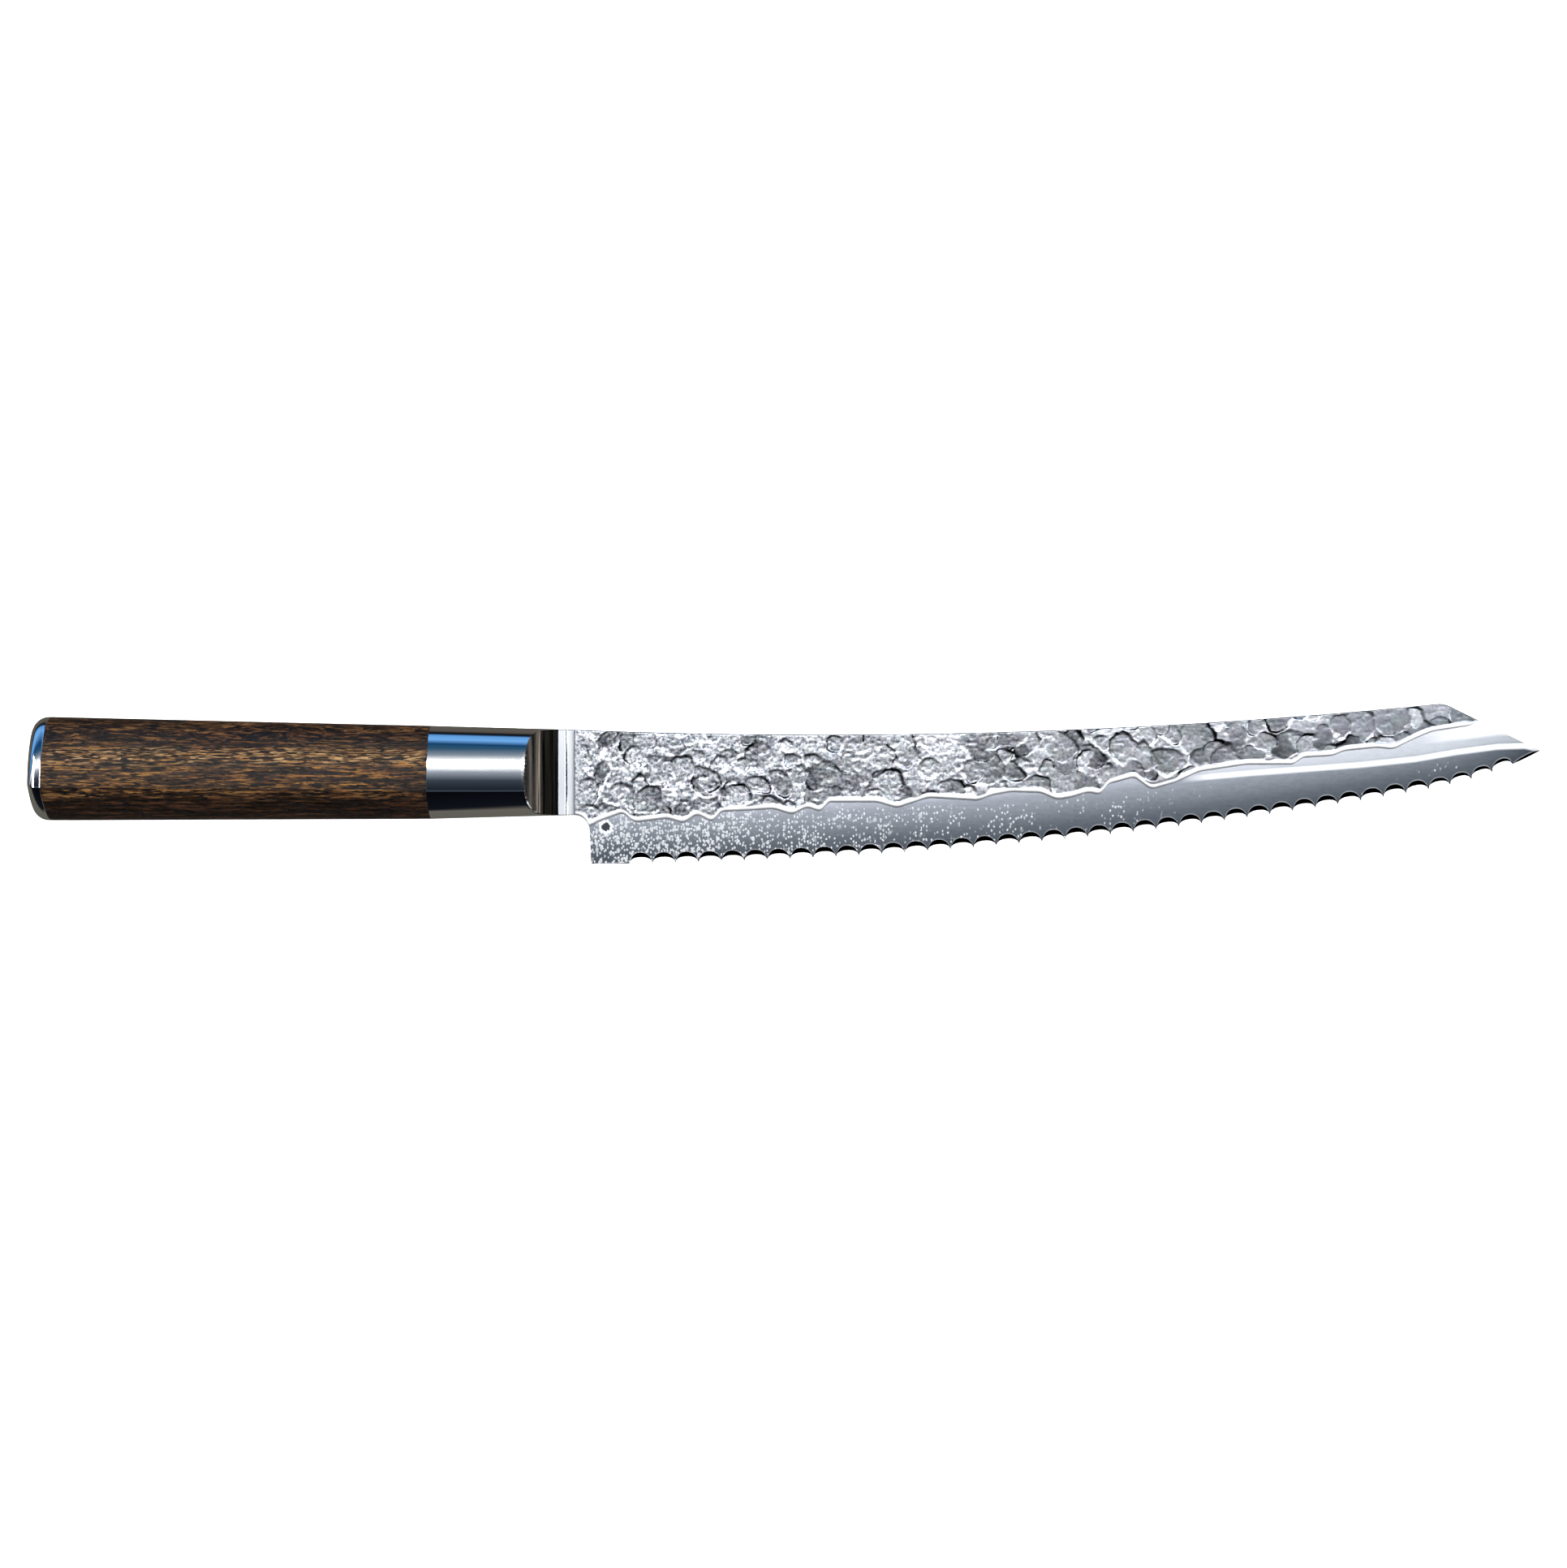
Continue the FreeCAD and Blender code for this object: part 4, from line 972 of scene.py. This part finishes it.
class KNIFE_OT_core(bpy.types.Operator):
    """Build the core of the blade with its scalloped edge"""
    bl_idname = "knife.core"
    bl_label = "Blade core"

    def execute(self, context):
        settings = context.scene.knife_blade
        place_piece(make_core(), satin_core(settings), "core_steel", "core_steel")
        return {"FINISHED"}


class KNIFE_OT_hammered(bpy.types.Operator):
    """Build the two hammered layers"""
    bl_idname = "knife.hammered"
    bl_label = "Hammered layers"

    def execute(self, context):
        settings = context.scene.knife_blade
        material = hammered_steel(settings)
        for word, mirror in (("right", 0), ("left", 1)):
            piece = make_cladding("hammered_" + word, mirror, settings)
            place_piece(piece, material, "hammered_steel", "cladding_" + word)
        return {"FINISHED"}


class KNIFE_OT_metalwork(bpy.types.Operator):
    """Build the polished bolster and end cap"""
    bl_idname = "knife.metalwork"
    bl_label = "Bolster and cap"

    def execute(self, context):
        settings = context.scene.knife_handle
        material = mirror_steel(settings)
        place_piece(make_bolster(settings), material, "polished_steel", "bolster")
        place_piece(make_cap(settings), material, "polished_steel", "end_cap")
        return {"FINISHED"}


class KNIFE_OT_grip(bpy.types.Operator):
    """Build the wooden grip"""
    bl_idname = "knife.grip"
    bl_label = "Grip"

    def execute(self, context):
        settings = context.scene.knife_handle
        place_piece(make_grip(settings), dark_wenge(settings), "dark_wood", "grip")
        return {"FINISHED"}


class KNIFE_OT_inside(bpy.types.Operator):
    """Finish the tang and the fasteners inside the handle"""
    bl_idname = "knife.inside"
    bl_label = "Inside parts"

    def execute(self, context):
        steel, epoxy = plain_steel(), cast_epoxy()
        for name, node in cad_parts.items():
            if node.hide_render:
                continue
            for slot in node.material_slots:
                slot.material = epoxy if name == "tang_bedding" else steel
        return {"FINISHED"}


class KNIFE_OT_stage(bpy.types.Operator):
    """Set the pale floor, the soft lights and the camera"""
    bl_idname = "knife.stage"
    bl_label = "Studio"

    def execute(self, context):
        settings = context.scene.knife_stage
        build_floor(settings)
        build_lights()
        build_camera(settings)
        return {"FINISHED"}


def build_floor(settings):
    """A lit white table, turned up into a backdrop far away. Polished steel mirrors the
    dim room below the horizon instead of the table, so its outline stays clear."""
    bm = bmesh.new()
    bmesh.ops.create_grid(bm, x_segments=1, y_segments=1, size=FLOOR_HALF)
    rim = bmesh.ops.extrude_edge_only(bm, edges=bm.edges[:])
    raised = [v for v in rim["geom"] if isinstance(v, bmesh.types.BMVert)]
    bmesh.ops.translate(bm, verts=raised, vec=(0, 0, FLOOR_HALF))
    floor = finish_mesh("floor", bm)
    m = new_material("lit_acrylic")
    shader = add(m, "BsdfPrincipled", {"Base Color": tuple(settings.floor),
                                       "Roughness": 0.9, "Specular IOR Level": 0.1,
                                       "Emission Color": tuple(settings.floor),
                                       "Emission Strength": 0.8})
    finish_material(m, shader)
    floor.data.materials.append(m)
    floor.visible_glossy = False


# What stands round the knife, as (angle, colour, strength): 0 is straight up, 90 is level
# on the spine's side and -90 level on the edge's side. A pale strip and a blue panel on the
# spine's side, dark cloth on the other, and beige below.
ROOM = [(-180, "#8c887c", 0.5), (-97, "#8c887c", 0.6), (-90, "#12151c", 1.0),
        (-50, "#020204", 1.0), (-30, "#171d24", 1.0), (-14, "#4d5761", 1.0),
        (2, "#1c242e", 1.0), (10, "#39434e", 1.0), (17, "#9ca3ad", 1.0),
        (21, "#ffffff", 1.0), (28, "#ffffff", 1.0), (32, "#8995a1", 1.0),
        (38, "#2b5876", 1.0), (46, "#08416e", 1.0), (62, "#7fc0ff", 1.0),
        (82, "#6aabec", 1.0), (90, "#16202f", 1.0), (98, "#12151b", 1.0),
        (112, "#6e665d", 0.8), (180, "#8c887c", 0.5)]


def build_lights():
    """The room round the knife, one long strip light on the spine's side, and a fill light
    past each end."""
    world = bpy.data.worlds.new("room")
    world.use_nodes = True
    bpy.context.scene.world = world
    way = add(world, "TexCoord").outputs["Generated"]
    parts = add(world, "SeparateXYZ", {0: way}).outputs
    angle = maths(world, "ARCTAN2", parts["Y"], parts["Z"])
    bands = ramp(world, span(world, angle, -math.pi, math.pi), [
        ((degrees + 180) / 360, tuple(c * strength for c in linear(code)))
        for degrees, code, strength in ROOM])
    world.node_tree.links.new(bands, world.node_tree.nodes["Background"].inputs["Color"])
    lean = math.radians(STRIP_LEAN)
    add_light("strip", (0.05, STRIP_REACH * math.sin(lean), STRIP_REACH * math.cos(lean)),
              (0.05, 0, 0), 2.2, 0.12, STRIP_POWER)
    add_light("heel_fill", (-1.1, 0.1, 0.7), (0, 0, 0), 0.35, 0.8, FILL_POWER)
    add_light("tip_fill", (1.2, 0.0, 0.5), (0, 0, 0), 0.3, 0.8, FILL_POWER)


def add_light(name, place, aim, wide, deep, power):
    """A white rectangular softbox that faces its aim, its long side along X."""
    light = bpy.data.lights.new(name, "AREA")
    light.shape = "RECTANGLE"
    light.size = wide
    light.size_y = deep
    light.energy = power
    lamp = bpy.data.objects.new(name, light)
    away = (Vector(place) - Vector(aim)).normalized()
    level = Vector((0, 1, 0)).cross(away).normalized()
    turned = Matrix((level, away.cross(level), away)).transposed()
    lamp.matrix_world = Matrix.Translation(place) @ turned.to_4x4()
    bpy.context.scene.collection.objects.link(lamp)


def build_camera(settings):
    """A camera straight over the knife, its frame a little wider than the knife."""
    low, high = CAD_BOX
    centre = (low + high) / 2
    half = math.atan(SHOWN_WIDTH * MM / 2 / settings.camera_distance)
    data = bpy.data.cameras.new("camera")
    data.sensor_width = SENSOR_WIDTH
    data.sensor_fit = "AUTO"
    data.lens = SENSOR_WIDTH / 2 / math.tan(half)
    data.clip_start = 0.01
    camera = bpy.data.objects.new("camera", data)
    camera.location = (centre.x - CAMERA_SHIFT * MM, centre.y,
                       HEEL.z + settings.camera_distance)
    camera.rotation_euler = (0, 0, 0)
    scene = bpy.context.scene
    scene.collection.objects.link(camera)
    scene.camera = camera
    scene.view_settings.view_transform = "Standard"


class KNIFE_PT_parts(bpy.types.Panel):
    """Buttons for every part of the knife"""
    bl_idname = "KNIFE_PT_parts"
    bl_label = "Bread knife"
    bl_space_type = "VIEW_3D"
    bl_region_type = "UI"
    bl_category = "Knife"

    def draw(self, context):
        for name in PARTS:
            self.layout.operator("knife." + name)
        for group in ("knife_blade", "knife_handle", "knife_stage"):
            settings = getattr(context.scene, group)
            for key in settings.bl_rna.properties.keys():
                if key not in ("rna_type", "name"):
                    self.layout.prop(settings, key)


PARTS = ("core", "hammered", "metalwork", "grip", "inside", "stage")
CLASSES = (KnifeBladeSettings, KnifeHandleSettings, KnifeStageSettings, KNIFE_OT_core,
           KNIFE_OT_hammered, KNIFE_OT_metalwork, KNIFE_OT_grip, KNIFE_OT_inside,
           KNIFE_OT_stage, KNIFE_PT_parts)


def register():
    """Register the classes and hang their settings on the scene."""
    for item in CLASSES:
        bpy.utils.register_class(item)
    bpy.types.Scene.knife_blade = PointerProperty(type=KnifeBladeSettings)
    bpy.types.Scene.knife_handle = PointerProperty(type=KnifeHandleSettings)
    bpy.types.Scene.knife_stage = PointerProperty(type=KnifeStageSettings)


def unregister():
    """Take the settings and the classes away."""
    del bpy.types.Scene.knife_stage
    del bpy.types.Scene.knife_handle
    del bpy.types.Scene.knife_blade
    for item in reversed(CLASSES):
        bpy.utils.unregister_class(item)


def main():
    """Build everything."""
    register()
    for name in PARTS:
        getattr(bpy.ops.knife, name)()
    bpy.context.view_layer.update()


if __name__ == "__main__":
    main()
